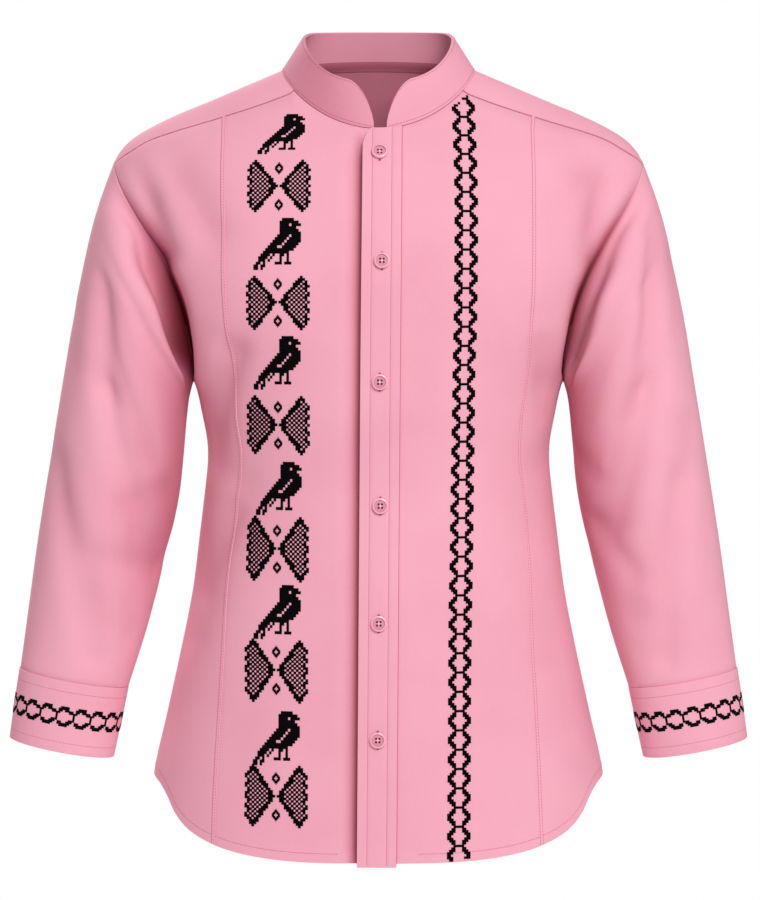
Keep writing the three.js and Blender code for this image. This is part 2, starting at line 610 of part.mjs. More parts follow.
function sleevePoint(side, angle, reach) {
  const point = bareSleevePoint(angle, reach);
  const round = bareSleevePoint(angle + probe.round, reach).sub(bareSleevePoint(angle - probe.round, reach));
  const ahead = bareSleevePoint(angle, Math.min(reach + probe.reach, sleeveCloth.lastReach));
  const along = ahead.sub(bareSleevePoint(angle, Math.max(reach - probe.reach, 0)));
  const normal = round.cross(along).normalize();
  let depth = 0;
  const flat = (place, height) => [place * sleeveCloth.mmPerDegree, height * sleeveCloth.mmPerReach];
  for (const fold of sleeveFolds.filter((row) => row.side === side)) {
    const distance = distanceToSegment(
      ...flat(angle, reach), ...flat(fold.fromAngle, fold.fromReach), ...flat(fold.toAngle, fold.toReach));
    depth += fold.depth * softTrough(distance, fold.width);
  }
  const settle = smooth(reach / sleeveFoldFade.armhole)
    * smooth((sleeveCloth.lastReach - reach) / sleeveFoldFade.cuff);
  return point.addScaledVector(normal, depth * settle);
}
const mirrorPoint = (point, side) => (isLeft(side) ? point : point.setX(-point.x));

const roundAngles = [
  ...armholeTurns.front.slice(1).reverse(),
  ...armholeTurns.shoulder,
  ...armholeTurns.back.slice(1, -1),
];

function ringMiddle(ring, side) {
  const middle = new THREE.Vector3(ring.outerX + ring.innerX, 2 * ring.middleY, ring.outerZ + ring.innerZ);
  return mirrorPoint(middle.divideScalar(2), side);
}

function sleeveGeometry(side) {
  const reaches = spread(steps.sleeve, 0, sleeveCloth.lastReach);
  const points = reaches.map((reach) => (
    roundAngles.map((angle) => mirrorPoint(sleevePoint(side, angle, reach), side))));
  const core = (i) => ringMiddle(readTable(sleeveRings, 'reach', reaches[i]), side);
  const normals = gridNormals(points, core, true);
  roundAngles.forEach((angle, j) => {
    const place = armholePlace(angle);
    const bodyNormal = mirrorPoint(surfaceNormal(bodySurface, place.angle, place.level), side);
    const onShoulder = smooth((shoulderTop.reach - Math.abs(angle - 180)) / shoulderTop.fade);
    normals[0][j].lerp(bodyNormal, onShoulder).normalize();
  });
  return wallGeometry(points, normals, thickness.sleeve, true);
}

function cuffGeometry(side) {
  const heights = spread(steps.cuff, 0, 1);
  const rings = heights.map((height) => readTable(cuffRings, 'height', height));
  const points = rings.map((ring) => (
    roundAngles.map((angle) => mirrorPoint(armRingPoint(ring, angle), side))));
  const core = (i) => ringMiddle(rings[i], side);
  return wallGeometry(points, gridNormals(points, core, true), thickness.cuff, true);
}

// ---------------------------------------------------------------- collar, placket and buttons

function collarTopPoint(angle) {
  const sine = Math.sin(radians(angle));
  const cosine = Math.cos(radians(angle));
  const power = 2 / collar.top.square;
  const depth = cosine > 0 ? -collar.top.front : collar.top.back;
  const endZ = cosine > 0 ? collar.top.frontZ : collar.top.backZ;
  return new THREE.Vector3(
    collar.top.halfWidth * Math.sign(sine) * Math.abs(sine) ** power,
    depth * Math.abs(cosine) ** power,
    mix(collar.top.sideZ, endZ, Math.abs(cosine)),
  );
}

// How much of the collar's height stands at a place near its front ends.
function collarHeight(x, end) {
  const share = THREE.MathUtils.clamp(Math.abs(x - end) / collar.cornerReach, 0, 1);
  return Math.max(Math.sqrt(1 - (1 - share) ** 2), collar.endHeight);
}

function collarGeometry() {
  const angleOf = (x) => angleAtX(x, 0);
  const right = neckColumns('right').slice(1).map((x) => angleOf(-x));
  const left = neckColumns('left').slice(1).map(angleOf);
  const behind = spread(steps.neckBack, -yokeNeckAngle, yokeNeckAngle - 360);
  const angles = [...right, ...behind, ...left.reverse().map((angle) => angle - 360)];
  const points = spread(steps.collar, 1, 0).map((share) => angles.map((angle) => {
    const base = ringPoint(angle, 0);
    const onFront = Math.cos(radians(angle)) > 0;
    const end = base.x < (collar.endRight + collar.endLeft) / 2 ? collar.endRight : collar.endLeft;
    const height = onFront ? collarHeight(base.x, end) : 1;
    base.z += seamGap;
    return base.lerp(collarTopPoint(angle), share * height);
  }));
  const neckMiddle = new THREE.Vector3(0, (collar.top.back - collar.top.front) / 2, -20);
  return wallGeometry(points, gridNormals(points, () => neckMiddle), thickness.collar);
}

function placketGeometry() {
  const panelLevels = frontCentreGrid('left').map((row) => row[0].level);
  const bottom = hem[0].level - placket.bottomDrop;
  const levels = [placket.topLevel, ...panelLevels.slice(1, -1), bottom];
  const rows = levels.map((level, i) => placket.columns.map((offset) => {
    const reach = THREE.MathUtils.clamp((offset + placket.halfWidth) / placket.cornerWidth, 0, 1);
    const cornerDrop = placket.cornerDrop * (1 - Math.sqrt(1 - (1 - reach) ** 2));
    const drop = i === 0 ? cornerDrop : 0;
    const place = Math.min(level - drop, level);
    return { angle: angleAtX(centreX(place) + offset, place), level: place };
  }));
  const normals = rows.map((row) => row.map(({ angle, level }) => surfaceNormal(ringPoint, angle, level)));
  const lift = thickness.placket + seamGap;
  const points = rows.map((row, i) => row.map(({ angle, level }, j) => (
    ringPoint(angle, level).addScaledVector(normals[i][j], lift))));
  return wallGeometry(points, normals, thickness.placket);
}

// A closed three.js geometry as a manifold solid, and back.
function toSolid(geometry) {
  const bare = geometry.clone();
  bare.deleteAttribute('normal');
  bare.deleteAttribute('uv');
  const merged = mergeVertices(bare, 1e-4);
  return new wasm.Manifold(new wasm.Mesh({
    numProp: 3,
    vertProperties: new Float32Array(merged.attributes.position.array),
    triVerts: new Uint32Array(merged.index.array),
  }));
}

function toGeometry(solid) {
  const mesh = solid.getMesh();
  const geometry = new THREE.BufferGeometry();
  geometry.setAttribute('position', new THREE.BufferAttribute(new Float32Array(mesh.vertProperties), 3));
  geometry.setIndex(new THREE.BufferAttribute(new Uint32Array(mesh.triVerts), 1));
  return geometry;
}

// A moulded button with a raised rim, a shallow dish and four holes. Its axis is Y, its face +Y.
function buttonGeometry() {
  const { radius, rim, dish, edge, rimWidth, holeRadius } = button;
  const profile = [
    [0, 0], [radius - edge, 0], [radius, edge], [radius, rim - edge], [radius - edge, rim],
    [radius - rimWidth, rim], [radius - rimWidth - edge, dish], [0, dish],
  ].map(([out, height]) => new THREE.Vector2(out, height));
  let solid = toSolid(new THREE.LatheGeometry(profile, button.sides));
  for (const sideX of [-1, 1]) {
    for (const sideZ of [-1, 1]) {
      const hole = new THREE.CylinderGeometry(holeRadius, holeRadius, rim * 4, button.holeSides);
      hole.translate(sideX * button.holeOffset, 0, sideZ * button.holeOffset);
      solid = solid.subtract(toSolid(hole));
    }
  }
  return toGeometry(solid);
}

// ---------------------------------------------------------------- the shirt

const shirt = new THREE.Group();
shirt.name = 'guayabera_shirt';

function addPiece(name, geometry, pieceColour = colour.cloth, roughness = 0.85) {
  geometry.computeVertexNormals();
  const material = new THREE.MeshStandardMaterial({ color: pieceColour, roughness, metalness: 0 });
  const mesh = new THREE.Mesh(geometry, material);
  mesh.name = name;
  shirt.add(mesh);
  return mesh;
}

addPiece('back', torsoPiece(backGrid(), ['top', 'left', 'right']));
addPiece('yoke', torsoPiece(yokeGrid(), ['bottom', 'left', 'right']));
for (const side of ['right', 'left']) {
  const place = (grid) => (isLeft(side) ? grid : mirrorPlaces(grid));
  addPiece(`front_${side}_centre`, torsoPiece(place(frontCentreGrid(side)), ['top', 'right']));
  addPiece(`front_${side}_side`, torsoPiece(place(frontSideGrid(side)), ['top', 'left', 'right']));
  addPiece(`sleeve_${side}`, sleeveGeometry(side));
  addPiece(`cuff_${side}`, cuffGeometry(side));
}
addPiece('collar', collarGeometry());
addPiece('placket', placketGeometry());

const faceAxis = new THREE.Vector3(0, 1, 0);
buttonPlaces.forEach(({ x, z }, number) => {
  const { angle, level } = placeOnFront(x, z);
  const normal = surfaceNormal(ringPoint, angle, level);
  const lift = thickness.placket + seamGap + button.stand;
  const mesh = addPiece(`button_${number + 1}`, buttonGeometry(), colour.button, 0.4);
  mesh.position.copy(ringPoint(angle, level).addScaledVector(normal, lift));
  mesh.quaternion.setFromUnitVectors(faceAxis, normal);
});

export default shirt;
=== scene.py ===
import math

import bpy
import numpy as np
from mathutils import Matrix, Vector


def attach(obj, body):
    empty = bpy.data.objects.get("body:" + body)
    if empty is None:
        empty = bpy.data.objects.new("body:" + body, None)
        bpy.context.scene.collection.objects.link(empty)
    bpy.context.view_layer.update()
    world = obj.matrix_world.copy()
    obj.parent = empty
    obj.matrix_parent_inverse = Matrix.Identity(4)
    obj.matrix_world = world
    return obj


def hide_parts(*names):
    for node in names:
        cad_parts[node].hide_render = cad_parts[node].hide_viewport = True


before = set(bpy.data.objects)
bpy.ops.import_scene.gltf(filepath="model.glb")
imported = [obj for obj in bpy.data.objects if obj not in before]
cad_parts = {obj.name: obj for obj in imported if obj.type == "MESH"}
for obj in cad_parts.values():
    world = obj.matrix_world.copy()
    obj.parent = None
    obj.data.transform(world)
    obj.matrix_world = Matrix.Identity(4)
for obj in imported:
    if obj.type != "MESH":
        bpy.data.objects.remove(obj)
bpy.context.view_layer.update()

metre = 0.001
sides = {"right": -1, "left": 1}


# small helpers for numbers and tables

def table(columns, rows):
    values = np.array(rows, dtype=float)
    return {name: values[:, i] for i, name in enumerate(columns.split())}


def mix(start, end, share):
    return start + (end - start) * share


def smooth(value):
    value = np.clip(value, 0, 1)
    return value * value * (3 - 2 * value)


def unit(vectors):
    return vectors / np.maximum(np.linalg.norm(vectors, axis=-1, keepdims=True), 1e-9)


def readTable(rows, key, place):
    # every column at one place between the rows, on a smooth curve through them
    keys = rows[key]
    place = np.asarray(place, dtype=float)
    direction = np.sign(keys[-1] - keys[0])
    last = len(keys) - 1
    index = np.clip(np.searchsorted(keys * direction, place * direction) - 1, 0, last - 1)
    before, after = np.maximum(index - 1, 0), np.minimum(index + 2, last)
    span = keys[index + 1] - keys[index]
    t = np.clip((place - keys[index]) / span, 0, 1)
    ease = t * t * (3 - 2 * t)
    result = {}
    for name, column in rows.items():
        startSlope = (column[index + 1] - column[before]) / (keys[index + 1] - keys[before])
        endSlope = (column[after] - column[index]) / (keys[after] - keys[index])
        bend = span * t * (1 - t) * (startSlope * (1 - t) - endSlope * t)
        result[name] = mix(column[index], column[index + 1], ease) + bend
    return result


def softLine(points, count=40):
    # a smooth curve through a few points
    points = np.array(points, dtype=float)
    if len(points) == 2:
        return points
    rows = {"at": np.arange(len(points), dtype=float)}
    rows.update({str(i): points[:, i] for i in range(points.shape[1])})
    read = readTable(rows, "at", np.linspace(0, len(points) - 1, count))
    return np.stack([read[str(i)] for i in range(points.shape[1])], axis=-1)


def creaseDepth(across, down, crease):
    # a trough along a line, steeper on one side than on the other, fading at both ends
    path = crease["line"]
    nearest = np.full(across.shape, 1e9)
    onLeft = np.zeros(across.shape, dtype=bool)
    along = np.zeros(across.shape)
    travelled = 0.0
    for (startX, startY), (endX, endY) in zip(path[:-1], path[1:]):
        runX, runY = endX - startX, endY - startY
        length = math.hypot(runX, runY)
        t = np.clip(((across - startX) * runX + (down - startY) * runY) / length ** 2, 0, 1)
        offX, offY = across - startX - runX * t, down - startY - runY * t
        distance = np.hypot(offX, offY)
        nearer = distance < nearest
        nearest = np.where(nearer, distance, nearest)
        onLeft = np.where(nearer, runX * offY - runY * offX > 0, onLeft)
        along = np.where(nearer, travelled + length * t, along)
        travelled += length
    width = np.where(onLeft, crease["left"], crease["right"])
    ends = smooth((along + 4) / crease["fade"]) * smooth((travelled + 4 - along) / crease["fade"])
    return crease["depth"] * np.exp(-(nearest / width) ** 2) * ends


# the torso: rings from the collar seam to the hem

bodyRings = table("level half front back dip rise square bend", [
    (0, 86.5, 72, 58, 54, 8, 2, 1.5),
    (-17, 126.5, 80, 66, 48.5, 6, 2, 1.4),
    (-28, 152.5, 86, 71, 46, 4, 2, 1.35),
    (-38.6, 178.5, 92, 76, 44.5, 3, 2, 1.3),
    (-49.3, 201, 98, 81, 43.5, 2, 2, 1.3),
    (-60, 219, 102, 85, 43, 1, 2, 1.3),
    (-70.7, 230, 105.5, 89, 42, 0, 2, 1.3),
    (-82, 237, 108.5, 93, 40.5, 0, 2, 1.3),
    (-100, 243, 112.5, 99, 37, 0, 2, 1.3),
    (-130, 244, 117.5, 105, 29, 0, 2, 1.4),
    (-160, 238, 121.5, 110, 20, 0, 2, 1.6),
    (-187, 226, 124, 112, 13, 0, 2, 1.8),
    (-230, 200, 126, 112, 5, 0, 2.1, 2),
    (-260, 178, 126, 110, 1.5, 0, 2.15, 2),
    (-277, 166, 126, 108, 0.5, 0, 2.2, 2),
    (-290, 161.8, 126, 106, 0, 0, 2.2, 2),
    (-304, 159, 125.5, 103, 0, 0, 2.2, 2),
    (-331, 154, 122, 97, 0, 0, 2.2, 2),
    (-350, 153.5, 120.5, 95, 0, 0, 2.2, 2),
    (-371, 155.5, 119.5, 95, 0, 0, 2.2, 2),
    (-412, 160.5, 122, 99, 0, 0, 2.2, 2),
    (-466, 167.5, 128, 107, 0, 0, 2.25, 2),
    (-521, 178.4, 132, 113, 0, 0, 2.3, 2),
    (-575, 190.3, 135.5, 116, 0, 0, 2.3, 2),
    (-630, 202.5, 138.5, 119, 0, 0, 2.3, 2),
    (-700, 209, 141, 121, 0, 0, 2.3, 2),
])
armhole = {"level": -179, "halfHeight": 98, "frontAngle": 35, "backAngle": 33,
           "yokeFrontTurn": 172, "yokeBackTurn": 220}
armholeValley = table("turn depth", [
    (0, 0), (14, 4), (30, 15), (60, 28), (90, 24), (130, 9), (165, 0), (180, 0),
])
valley = {"frontWidth": 10, "backWidth": 22, "mmPerDegree": 2.7, "backShare": 0.45, "pullIn": 0.2}

# soft folds of the cloth: from x, z to x, z, with width and depth
frontFolds = [
    (-214, -94, -190, -160, 14, 5), (-187, -84, -146, -150, 18, 3),
    (208, -86, 194, -140, 14, 5), (190, -84, 158, -125, 17, 2.5),
    (-128, -255, -150, -345, 15, 3.5), (-120, -372, -170, -500, 19, 4),
    (142, -222, 150, -300, 15, 3), (92, -262, 138, -410, 22, 3),
    (60, -470, 108, -640, 26, 2.5),
]
backFolds = [
    (-186, -120, -140, -230, 17, 4), (192, -128, 150, -215, 16, 4),
    (-120, -300, -40, -372, 17, 4.5), (134, -290, 62, -352, 16, 4),
    (-70, -430, -112, -620, 24, 4), (44, -410, 92, -640, 26, 3.5),
]
foldFade = 0.32

# finer creases over those folds: depth, widths to the left and right of the line, then the line
frontCreases = [
    (4.6, 14, 8, [(-213, -96), (-206, -116), (-200, -136), (-193, -158), (-184, -182)]),
    (2.4, 20, 15, [(-187, -76), (-168, -104), (-150, -136), (-138, -158)]),
    (1.6, 18, 28, [(-199, -150), (-182, -195), (-165, -226), (-146, -246)]),
    (4.6, 8, 14, [(208, -82), (199, -98), (194, -118), (190, -146), (183, -184)]),
    (3.0, 11, 17, [(195, -78), (184, -91), (165, -110)]),
    (3.2, 9, 17, [(-112, -232), (-128, -261), (-139, -291), (-149, -338)]),
    (-2.2, 11, 11, [(-136, -236), (-149, -262), (-156, -292)]),
    (3.2, 10, 19, [(-121, -374), (-134, -405), (-152, -440), (-163, -480)]),
    (1.2, 14, 10, [(-158, -300), (-146, -336), (-128, -362)]),
    (2.8, 14, 10, [(141, -228), (146, -261), (149, -296)]),
    (1.3, 10, 14, [(163, -318), (148, -342), (129, -358)]),
    (1.4, 16, 22, [(118, -420), (138, -470), (152, -540)]),
    (1.1, 20, 16, [(-96, -520), (-112, -580), (-118, -650)]),
    (1.0, 24, 18, [(26, -150), (40, -240), (44, -330)]),
    (1.2, 22, 30, [(-40, -430), (-52, -520), (-50, -610)]),
    (4.6, 20, 8, [(-18.0, -62), (-18.5, -160), (-20, -330), (-21.5, -520), (-22, -700)]),
]
backCreases = [
    (2.2, 8, 15, [(-196, -118), (-176, -150), (-158, -192), (-146, -232)]),
    (2.0, 15, 8, [(198, -124), (182, -156), (160, -190), (152, -216)]),
    (1.6, 12, 20, [(-120, -112), (-96, -150), (-88, -210)]),
    (1.5, 18, 12, [(96, -114), (84, -160), (80, -222)]),
    (2.3, 9, 16, [(-150, -306), (-104, -330), (-52, -366), (-22, -372)]),
    (2.0, 16, 9, [(152, -296), (112, -318), (74, -346), (44, -352)]),
    (1.8, 10, 18, [(-134, -352), (-92, -378), (-60, -400)]),
    (1.7, 18, 10, [(138, -352), (102, -376), (66, -392)]),
    (1.8, 16, 24, [(-22, -430), (-34, -520), (-30, -640)]),
    (1.6, 14, 20, [(120, -440), (134, -520), (142, -610)]),
    (1.5, 20, 14, [(-128, -440), (-140, -520), (-150, -600)]),
    (1.2, 20, 20, [(6, -150), (2, -220), (8, -290)]),
]


def toCreases(rows, fade=26):
    return [{"depth": depth, "left": left, "right": right, "line": softLine(line), "fade": fade}
            for depth, left, right, line in rows]


frontCreases, backCreases = toCreases(frontCreases), toCreases(backCreases)


def ringPoint(angle, level):
    # angle is 0 at the centre front, 90 at the wearer's left side and 180 at the centre back
    angle, level = np.broadcast_arrays(np.asarray(angle, float), np.asarray(level, float))
    ring = readTable(bodyRings, "level", level)
    sine, cosine = np.sin(np.radians(angle)), np.cos(np.radians(angle))
    power = 2 / ring["square"]
    depth = np.where(cosine > 0, -ring["front"], ring["back"])
    rise = np.where(cosine > 0, -ring["dip"], ring["rise"])
    return np.stack([
        ring["half"] * np.sign(sine) * np.abs(sine) ** power,
        depth * np.abs(cosine) ** power,
        level + rise * np.abs(cosine) ** ring["bend"],
    ], axis=-1)


def surfaceNormal(surface, angle, level):
    across = surface(angle + 0.3, level) - surface(angle - 0.3, level)
    down = surface(angle, level - 0.6) - surface(angle, level + 0.6)
    return unit(np.cross(down, across))


def besideArmhole(angle, level):
    # height and turn of a place about the armhole, its angle from the side, the edge's, and the gap between in mm
    height = (armhole["level"] - level) / armhole["halfHeight"]
    turn = np.degrees(np.arccos(np.clip(height, -1, 1)))
    fromSide = 90 - np.abs((angle + 540) % 360 - 180)
    reach = np.where(fromSide > 0, armhole["frontAngle"], armhole["backAngle"])
    edge = np.maximum(reach * np.sin(np.radians(turn)), 1e-6)
    return height, turn, fromSide, edge, np.maximum(np.abs(fromSide) - edge, 0) * valley["mmPerDegree"]


def valleyDepth(angle, level):
    height, turn, fromSide, edge, gap = besideArmhole(angle, level)
    share = np.minimum(np.abs(fromSide) / edge, 1) * np.where(fromSide > 0, 1, -valley["backShare"])
    width = np.where(fromSide > 0, valley["frontWidth"], valley["backWidth"])
    sink = share * readTable(armholeValley, "turn", turn)["depth"] * np.exp(-(gap / width) ** 2)
    return np.where(np.abs(height) >= 1, 0, sink)


def foldDepth(across, down, folds, creases):
    depth = np.zeros(np.broadcast(across, down).shape)
    for startX, startY, endX, endY, width, deep in folds:
        runX, runY = endX - startX, endY - startY
        t = np.clip(((across - startX) * runX + (down - startY) * runY) / (runX ** 2 + runY ** 2), 0, 1)
        apart = np.hypot(across - startX - runX * t, down - startY - runY * t)
        depth += deep * np.exp(-(apart / width) ** 2)
    for crease in creases:
        depth += creaseDepth(across, down, crease)
    return depth


def torsoFolds(angle, point, front, back):
    # folds and creases of the front or the back, dying out towards the sides
    cosine = np.cos(np.radians(angle))
    x, z = point[..., 0], point[..., 2]
    depth = np.where(cosine > 0, foldDepth(x, z, front, frontCreases), foldDepth(x, z, back, backCreases))
    return depth * smooth(np.abs(cosine) / foldFade)


def bodySurface(angle, level):
    angle, level = np.broadcast_arrays(np.asarray(angle, float), np.asarray(level, float))
    point = ringPoint(angle, level)
    depth = torsoFolds(angle, point, frontFolds, backFolds)
    sink = valleyDepth(angle, level)
    point = point - surfaceNormal(ringPoint, angle, level) * depth[..., None]
    point[..., 1] += sink
    point[..., 0] -= np.sign(point[..., 0]) * np.abs(sink) * valley["pullIn"]
    return point


def angleAtX(x, level):
    ring = readTable(bodyRings, "level", level)
    share = np.minimum(np.abs(x) / ring["half"], 1)
    return np.sign(x) * np.degrees(np.arcsin(share ** (ring["square"] / 2)))


def placeOnFront(x, z):
    x, z = np.broadcast_arrays(np.asarray(x, float), np.asarray(z, float))
    low, high = z - 1, z + 60
    for _ in range(30):
        level = (low + high) / 2
        above = ringPoint(angleAtX(x, level), level)[..., 2] > z
        high, low = np.where(above, level, high), np.where(above, low, level)
    return {"angle": angleAtX(x, low), "level": low}


# the lines that the torso is cut along

yokeFrontSeam = table("x z", [
    (74.7, -20.7), (105, -32), (137, -42.2), (160, -49), (180, -54.6), (203, -62.2), (222, -73), (234, -80.8),
])
yokeNeckAngle, yokeBackLevel, princessTopX = 60, -105.0, 136
princessSeam = table("level right left", [
    (-20, 136.5, 135.5), (-186, 134.5, 134.5), (-254, 130, 132), (-305, 126, 126), (-342, 121, 125.5),
    (-392, 130, 131.5), (-430, 133.5, 133.5), (-517, 136.5, 135.5), (-622, 142.5, 140.5), (-690, 145, 143),
])
hem = table("angle level", [
    (0, -690), (18, -689), (31, -685), (42, -678), (52, -667.5), (59, -655.5), (65, -642), (73, -633), (90, -629),
])
cutSteps = {"armholeFront": 45, "armholeShoulder": 15, "armholeBack": 40, "sideSeam": 65,
            "sidePanel": 24, "yokeToPrincess": 14, "neckBack": 140, "sleeve": 100, "cuff": 14, "collar": 16}
collarEnd = {"right": 4, "left": 7.2}
frontEdge = {"right": 3.8, "left": 4.2}
neckOffsets = [0.5, 1.4, 2.8, 5, 8, 12]
backColumns = cutSteps["neckBack"] - 2 * cutSteps["armholeShoulder"]
hemLevel = {"front": -690.0, "side": -629}


def armholePlace(turn, shrink=0.0):
    sine = np.sin(np.radians(turn))
    reach = np.where(sine > 0, armhole["frontAngle"], armhole["backAngle"])
    return {
        "angle": 90 - reach * (1 - shrink) * sine,
        "level": armhole["level"] - armhole["halfHeight"] * (1 - shrink) * np.cos(np.radians(turn)),
    }


def hemPlace(angle):
    angle = np.asarray(angle, float)
    fromCentre = np.abs(np.where(np.abs(angle) > 90, 180 - np.abs(angle), np.abs(angle)))
    return {"angle": angle, "level": readTable(hem, "angle", fromCentre)["level"]}


def joined(*parts):
    return {key: np.concatenate([np.atleast_1d(part[key]) for part in parts]) for key in parts[0]}


def turned(place):
    return {"angle": (360 - place["angle"])[::-1], "level": place["level"][::-1]}


def otherSide(place):
    return {"angle": 360 - place["angle"], "level": place["level"]}


def patch(top, bottom, left, right, key, share=None):
    # places between four lines; the bends of the top and bottom lines die out a short way in
    rows, columns = len(left["level"]) - 1, len(top["level"]) - 1
    share = np.linspace(0, 1, columns + 1) if share is None else share
    down = np.linspace(0, 1, rows + 1)[:, None]
    result = {}
    for name in (key, "level"):
        topBend = top[name] - mix(top[name][0], top[name][-1], share)
        bottomBend = bottom[name] - mix(bottom[name][0], bottom[name][-1], share)
        flat = mix(left[name][:, None], right[name][:, None], share)
        result[name] = flat + topBend * (1 - down) ** 3 + bottomBend * down ** 3
    return result


armpitLevel = armhole["level"] - armhole["halfHeight"]
armholeTurns = {
    "front": np.linspace(armhole["yokeFrontTurn"], 0, cutSteps["armholeFront"] + 1),
    "shoulder": np.linspace(armhole["yokeFrontTurn"], armhole["yokeBackTurn"], cutSteps["armholeShoulder"] + 1),
    "back": np.linspace(armhole["yokeBackTurn"], 360, cutSteps["armholeBack"] + 1),
}
sideLevels = np.linspace(armpitLevel, hemLevel["side"], cutSteps["sideSeam"] + 1)
sideSeam = {"angle": np.full(len(sideLevels), 90.0), "level": sideLevels}


def princessPlaces(side):
    def seamX(level):
        return readTable(princessSeam, "level", level)[side]
    top = placeOnFront(princessTopX, readTable(yokeFrontSeam, "x", princessTopX)["z"])
    hemAngle = 42.0
    for _ in range(6):
        level = hemPlace(hemAngle)["level"]
        hemAngle = angleAtX(seamX(level), level)
    levels = np.concatenate([
        np.linspace(top["level"], armpitLevel, cutSteps["armholeFront"] + 1),
        np.linspace(armpitLevel, hemPlace(hemAngle)["level"], cutSteps["sideSeam"] + 1)[1:],
    ])
    x = seamX(levels)
    x[0] = princessTopX
    angle = angleAtX(x, levels)
    angle[0] = top["angle"]
    return {"angle": angle, "level": levels, "x": x}


def yokeSeamPlaces():
    inner = np.linspace(yokeFrontSeam["x"][0], princessTopX, cutSteps["yokeToPrincess"] + 1)
    share = np.linspace(0, 1, cutSteps["sidePanel"] + 1)
    x = np.concatenate([inner, mix(princessTopX, yokeFrontSeam["x"][-1], share ** 0.8)[1:]])
    place = placeOnFront(x, readTable(yokeFrontSeam, "x", x)["z"])
    place["x"] = x
    place["angle"][0], place["level"][0] = yokeNeckAngle, 0
    place["x"][0] = ringPoint(yokeNeckAngle, 0)[0]
    last = armholePlace(armhole["yokeFrontTurn"])
    place["angle"][-1], place["level"][-1] = last["angle"], last["level"]
    return place


def sliced(place, start, end=None):
    return {key: values[start:end] for key, values in place.items()}


def frontSideGrid(side):
    princess = princessPlaces(side)
    outer = joined(armholePlace(armholeTurns["front"]), sliced(sideSeam, 1))
    top = sliced(yokeSeamPlaces(), cutSteps["yokeToPrincess"])
    bottom = hemPlace(np.linspace(princess["angle"][-1], 90, cutSteps["sidePanel"] + 1))
    return patch(top, bottom, princess, outer, "angle")


def neckColumns(side):
    ends = collarEnd[side] + np.array(neckOffsets)
    rest = np.linspace(ends[-1], ringPoint(yokeNeckAngle, 0)[0], 26)[1:-1]
    return np.concatenate([[frontEdge[side], collarEnd[side]], ends, rest])


def frontCentreGrid(side):
    princess = princessPlaces(side)
    neck = neckColumns(side)
    yokeEdge = sliced(yokeSeamPlaces(), 0, cutSteps["yokeToPrincess"] + 1)
    topX = np.concatenate([neck, yokeEdge["x"]])
    top = {"x": topX, "level": np.concatenate([np.zeros(len(neck)), yokeEdge["level"]])}
    share = (topX - topX[0]) / (princessTopX - topX[0])
    bottomX = mix(topX[0], princess["x"][-1], share)
    bottom = {"x": bottomX, "level": hemPlace(angleAtX(bottomX, hemLevel["front"]))["level"]}
    bottom["level"][-1] = princess["level"][-1]
    down = (princess["level"] - princess["level"][0]) / (princess["level"][-1] - princess["level"][0])
    edge = {"x": np.full(len(down), topX[0]), "level": hemLevel["front"] * down}
    grid = patch(top, bottom, edge, princess, "x", share)
    return {"angle": angleAtX(grid["x"], grid["level"]), "level": grid["level"]}


def backSeamPlaces(start):
    return {"angle": np.linspace(start, 360 - start, backColumns + 1), "level": np.full(backColumns + 1, yokeBackLevel)}


def yokeGrid():
    angles = np.linspace(yokeNeckAngle, 360 - yokeNeckAngle, cutSteps["neckBack"] + 1)
    neck = {"angle": angles, "level": np.zeros(len(angles))}
    shoulder = armholePlace(armholeTurns["shoulder"])
    backSeam = backSeamPlaces(shoulder["angle"][-1])
    outer = joined(sliced(shoulder, 0, -1), backSeam, turned(sliced(shoulder, 0, -1)))
    frontSeam = yokeSeamPlaces()
    return patch(neck, outer, frontSeam, otherSide(frontSeam), "angle")


def backGrid():
    side = joined(armholePlace(armholeTurns["back"]), sliced(sideSeam, 1))
    top = backSeamPlaces(side["angle"][0])
    return patch(top, hemPlace(np.linspace(90, 270, backColumns + 1)), side, otherSide(side), "angle")


# the sleeves and cuffs: leaning rings from the armhole to the wrist

sleeveRings = table("reach outerX outerZ innerX innerZ middleY halfDepth", [
    (0, 237, -82, 166.5, -277, -4, 64), (1, 247, -110, 168, -284, -5, 66), (2, 256.5, -142, 170, -293, -6, 67),
    (3, 265.5, -182, 171.5, -305, -7, 67), (4, 274, -225, 173, -321, -8, 66), (5, 282, -274, 175, -345, -9, 64),
    (6, 290.5, -325, 178, -374, -10, 62), (7, 298.5, -375, 184.5, -408, -12, 59),
    (8, 306, -425, 194.5, -449, -17, 55), (9, 313, -480, 208, -500, -25, 48), (10, 319.5, -531, 223.5, -549, -33, 39),
])
cuffRings = table("height outerX outerZ innerX innerZ middleY halfDepth", [
    (0, 320.4, -531.6, 223.2, -549.6, -33, 39.8), (0.5, 325, -562, 229.5, -580, -35.5, 38.8),
    (1, 329.2, -593.5, 236.3, -611.5, -38, 37.8),
])
armholeBlend = {"outside": 1.6, "armpit": 1.4}
sleeveCloth = {"mmPerDegree": 1.05, "mmPerReach": 45, "lastReach": 10, "creaseWidths": 1.5, "tuckIn": 2.0}
seamGap = 0.36

